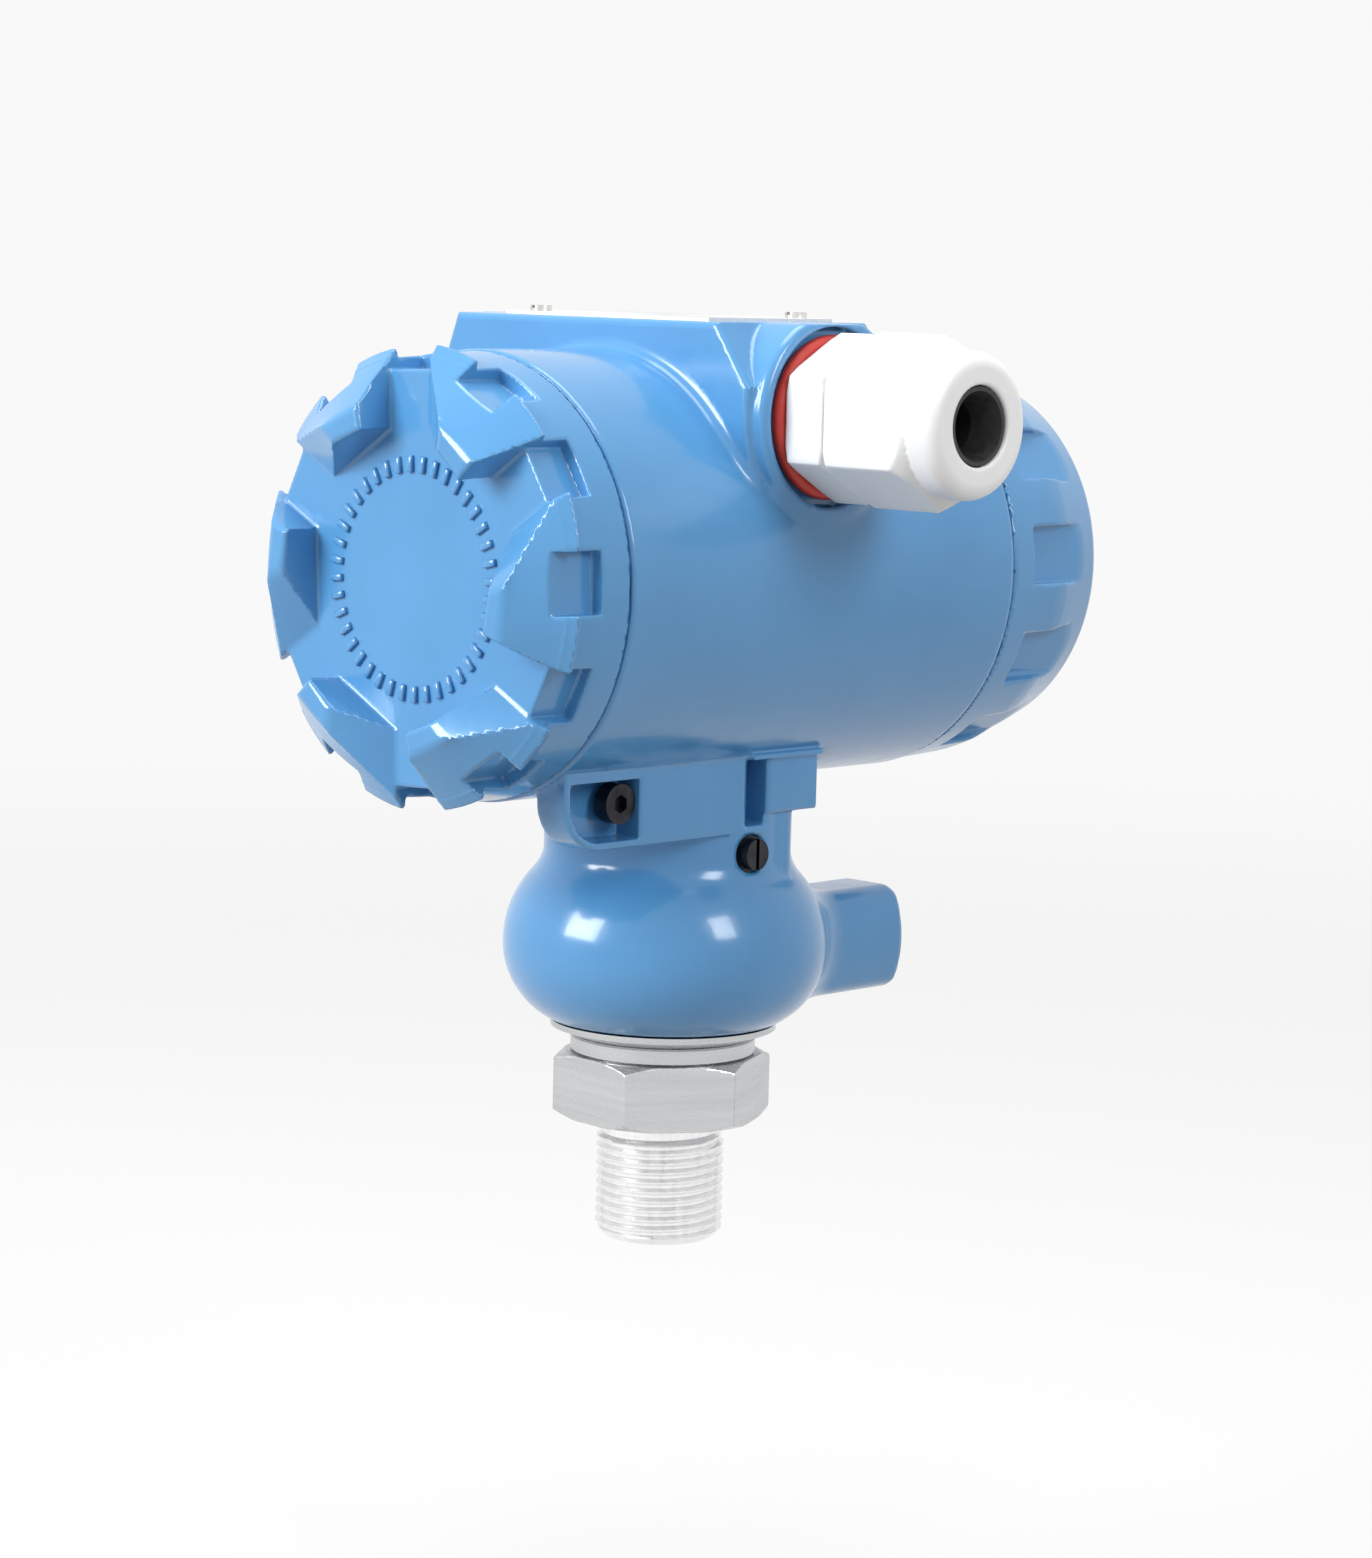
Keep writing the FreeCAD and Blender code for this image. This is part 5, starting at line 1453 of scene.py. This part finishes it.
@dataclass
class ProcessConnector:
    """Hexagon, ring, stem and thread of the process connection."""

    flats: float = 30.0
    height: float = 10.2
    turn: float = -4.5
    chamfer: float = 1.0
    ring: Corner = (14.5, 12.9)
    stem: Corner = (10.45, 17.9)
    port: float = 1.75
    thread_radius: float = 10.0
    root_radius: float = 9.08
    pitch: float = 1.5
    bends: tuple[float, ...] = (0.0, 0.14, 0.44, 0.70, 1.0)
    phases: tuple[float, ...] = (0.0, 0.14, 0.29, 0.44, 0.57, 0.70, 0.85)
    thread_top: float = -2.4
    thread_end: float = -19.1
    end_chamfer: float = 1.4
    relief_radius: float = 9.15
    around: int = 144
    overlap: float = 0.3
    port_chamfer: float = 0.4
    space: Space = ((-19, -19, -1.5), (19, 19, 12))

    def build(self, finishes: Finishes) -> None:
        """Build and dress the connector.

        Args:
            finishes: The instrument's materials.
        """
        centre = (0, 0, 0)
        head = chamfered_hexagon(
            Axis.Z, centre, self.flats, (0, self.height), (self.chamfer, 2 * self.chamfer), 0.15, self.turn)
        head = head.carve(rod(Axis.Z, centre, self.port, -30, 30), 0.1)
        piece = Mesher(0.4).mesh("connector_hexagon", head, self.space)
        finishes.dress(piece, "housing", Slot.STEEL, ["process_connector"])
        ring_radius, ring_top = self.ring
        stem_radius, stem_top = self.stem
        foot, soft = self.height - 0.5, 0.3
        turning = turned_piece("connector_stem", Axis.Z, centre, [
            (foot, self.port), (foot, ring_radius - 0.5), (self.height, ring_radius - 0.5),
            (self.height + 0.35, ring_radius), (ring_top - soft, ring_radius), (ring_top, ring_radius - soft),
            (ring_top, stem_radius), (stem_top - soft, stem_radius), (stem_top, stem_radius - soft),
            (stem_top, self.port),
        ])
        finishes.dress(turning, "housing", Slot.STEEL)
        # The thread takes the paler copy of the steel, which paints in light.
        finishes.dress(self.thread(), "housing", Slot.STEEL, key="thread")

    def profile(self, phase: float) -> float:
        """Radius of the thread at a share of its turn: crest, flank, root, flank."""
        crest, root = self.thread_radius, self.root_radius
        return float(np.interp(phase % 1.0, self.bends, (crest, crest, root, root, crest)))

    def envelope(self, level: float) -> float:
        """Largest radius at a level: relief under the hexagon, run-out and end chamfer."""
        top, end = self.thread_top, self.thread_end
        levels = (end, end + self.end_chamfer, top - 0.9, top, 0.0, 0.5)
        radii = (self.thread_radius - self.end_chamfer, self.thread_radius, self.thread_radius,
                 self.relief_radius, self.relief_radius, self.relief_radius)
        return float(np.interp(level, levels, radii))

    def thread(self) -> bpy.types.Object:
        """Build the thread, its relief and the end face with the port.

        Returns:
            The new piece.
        """
        turns = int(abs(self.thread_end) / self.pitch) + 3
        angles = np.arange(self.around + 1) * 2 * math.pi / self.around
        rows = []
        for turn in range(-turns, 2):
            for phase in self.phases:
                row = []
                for angle in angles:
                    level = (turn + phase + angle / (2 * math.pi)) * self.pitch
                    place = min(max(level, self.thread_end), self.overlap)
                    radius = min(self.profile(phase), self.envelope(place))
                    row.append((radius * math.cos(angle), radius * math.sin(angle), place))
                rows.append(row)
        points = np.array(rows)
        count, around = points.shape[:2]
        grid = np.arange(count * around).reshape(count, around)
        faces = np.stack([grid[:-1, :-1], grid[:-1, 1:], grid[1:, 1:], grid[1:, :-1]], axis=2).reshape(-1, 4)
        points = points.reshape(-1, 3)
        spans = points[faces][:, :, 2]
        faces = faces[spans.max(axis=1) - spans.min(axis=1) > 1e-6]
        piece = new_piece("process_thread", points * MM, faces)
        piece.data.shade_smooth()
        self._close_ends(piece)
        piece.data.set_sharp_from_angle(angle=math.radians(28))
        return piece

    def _close_ends(self, piece: bpy.types.Object) -> None:
        """Weld the seam and add the end face, the bore of the port and the top.

        Args:
            piece: The open thread surface.
        """
        work = bmesh.new()
        work.from_mesh(piece.data)
        bmesh.ops.remove_doubles(work, verts=work.verts, dist=1e-7)
        end, top, chamfer = self.thread_end, self.overlap, self.port_chamfer
        for rim, radius, level in (
            (end, self.port + chamfer, end), (end, self.port, end + chamfer), (top, self.port, top),
        ):
            edges = [edge for edge in work.edges
                     if edge.is_boundary and all(abs(vert.co.z - rim * MM) < 1e-6 for vert in edge.verts)]
            made = bmesh.ops.extrude_edge_only(work, edges=edges)
            for vert in made["geom"]:
                if isinstance(vert, bmesh.types.BMVert):
                    vert.co = Vector((*(vert.co.xy.normalized() * radius * MM), level * MM))
        rims = [edge for edge in work.edges if edge.is_boundary]
        bmesh.ops.bridge_loops(work, edges=rims)
        bmesh.ops.recalc_face_normals(work, faces=work.faces)
        work.to_mesh(piece.data)
        work.free()


# Studio


@dataclass(frozen=True)
class Lamp:
    """Soft rectangular lamp. Place and size in metres, power in watts."""

    name: str
    place: Triple
    size: Corner
    power: float

    def light(self, aim: Triple) -> None:
        """Add the lamp to the scene, pointed at a place."""
        data = bpy.data.lights.new(self.name, "AREA")
        data.shape = "RECTANGLE"
        data.size, data.size_y = self.size
        data.energy = self.power
        lamp = bpy.data.objects.new(self.name, data)
        lamp.location = self.place
        lamp.rotation_euler = (Vector(aim) - Vector(self.place)).to_track_quat("-Z", "Y").to_euler()
        bpy.context.scene.collection.objects.link(lamp)


@dataclass
class Studio:
    """Camera, pale floor and soft lamps. Places in metres."""

    azimuth: float = 44.353
    elevation: float = 7.172
    roll: float = 1.434
    camera_place: Triple = (0.4503, -0.4568, 0.1338)
    lens: float = 95.897
    floor_level: float = -0.085
    pale: float = 0.945
    ambient: float = 0.46
    floor_share: float = 0.3
    floor_seen: float = 0.80
    floor_shed: float = 0.30
    floor_fade: Corner = (0.30, 1.2)
    middle: Triple = (0.0, 0.0, 0.06)
    lamps: tuple[Lamp, ...] = (
        Lamp("key", (-0.30, -0.85, 0.45), (0.45, 0.45), 10.0),
        Lamp("side", (0.80, 0.0, 0.50), (0.25, 0.35), 2.8),
        Lamp("top", (0.0, 0.05, 0.85), (0.6, 0.5), 4.6),
    )

    def camera(self) -> None:
        """Set the camera at its place."""
        around, above = math.radians(self.azimuth), math.radians(self.elevation)
        right = Vector((math.cos(around), math.sin(around), 0))
        outward = Vector((math.sin(around), -math.cos(around), 0))
        back = outward * math.cos(above) + Vector((0, 0, math.sin(above)))
        up = back.cross(right)
        tilt = math.radians(self.roll)
        level = right * math.cos(tilt) + up * math.sin(tilt)
        upright = up * math.cos(tilt) - right * math.sin(tilt)
        data = bpy.data.cameras.new("camera")
        data.lens = self.lens
        data.sensor_width = 36
        data.clip_start, data.clip_end = 0.01, 50
        camera = bpy.data.objects.new("camera", data)
        turn = Matrix((level, upright, back)).transposed().to_4x4()
        camera.matrix_world = Matrix.Translation(self.camera_place) @ turn
        bpy.context.scene.collection.objects.link(camera)
        bpy.context.scene.camera = camera

    def world(self) -> None:
        """Pale background for the eye and reflections, softer light on the object."""
        world = bpy.data.worlds.new("studio")
        world.use_nodes = True
        bpy.context.scene.world = world
        graph = Graph(world.node_tree)
        graph.nodes.clear()
        seen = graph.grey("ShaderNodeBackground", self.pale)
        shed = graph.grey("ShaderNodeBackground", 1)
        shed.inputs["Strength"].default_value = self.ambient
        mix = graph.choice(graph.seen(), shed, seen)
        graph.link(mix.outputs[0], graph.add("ShaderNodeOutputWorld").inputs["Surface"])

    def floor(self) -> None:
        """Pale floor that keeps a soft shadow and fades into the background."""
        around = 96
        angles = np.arange(around) * 2 * math.pi / around
        radius = self.floor_fade[1] + 0.1
        rim = [(radius * math.cos(angle), radius * math.sin(angle), self.floor_level) for angle in angles]
        mesh = bpy.data.meshes.new("floor")
        mesh.from_pydata(rim, [], [tuple(range(around))])
        floor = bpy.data.objects.new("floor", mesh)
        bpy.context.scene.collection.objects.link(floor)
        mesh.materials.append(self.floor_material())

    def floor_material(self) -> bpy.types.Material:
        """Thin pale veil for the eye, darker ground for the light that it throws back.

        Returns:
            The material.
        """
        material = bpy.data.materials.new("floor")
        material.use_nodes = True
        graph = Graph(material.node_tree)
        graph.nodes.clear()
        place = graph.add("ShaderNodeNewGeometry").outputs["Position"]
        distance = graph.add("ShaderNodeVectorMath", operation="LENGTH")
        fade = graph.add("ShaderNodeMapRange", interpolation_type="SMOOTHSTEP")
        limits = (*self.floor_fade, self.floor_share, 0)
        for name, value in zip(("From Min", "From Max", "To Min", "To Max"), limits):
            fade.inputs[name].default_value = value
        graph.link(place, distance.inputs[0])
        graph.link(distance.outputs["Value"], fade.inputs["Value"])
        matt = graph.grey("ShaderNodeBsdfDiffuse", self.floor_seen)
        shed = graph.grey("ShaderNodeBsdfDiffuse", self.floor_shed)
        veil = graph.choice(fade.outputs["Result"], graph.add("ShaderNodeBsdfTransparent"), matt)
        mix = graph.choice(graph.seen(), shed, veil)
        graph.link(mix.outputs[0], graph.add("ShaderNodeOutputMaterial").inputs["Surface"])
        return material

    def build(self) -> None:
        """Set up camera, lamps, world and floor."""
        self.camera()
        self.world()
        self.floor()
        for lamp in self.lamps:
            lamp.light(self.middle)
        bpy.context.scene.view_settings.view_transform = "Standard"


def main() -> None:
    """Build the instrument and its studio in order."""
    logging.basicConfig(level=logging.INFO, format="%(message)s")
    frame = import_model()
    Studio().build()
    finishes = Finishes()
    finishes.dress_nodes(frame)
    for assembly in (Housing(), FrontCover(), RearCover(), CableGland(), BlankingPlug(), ProcessConnector()):
        assembly.build(finishes)


if __name__ == "__main__":
    main()
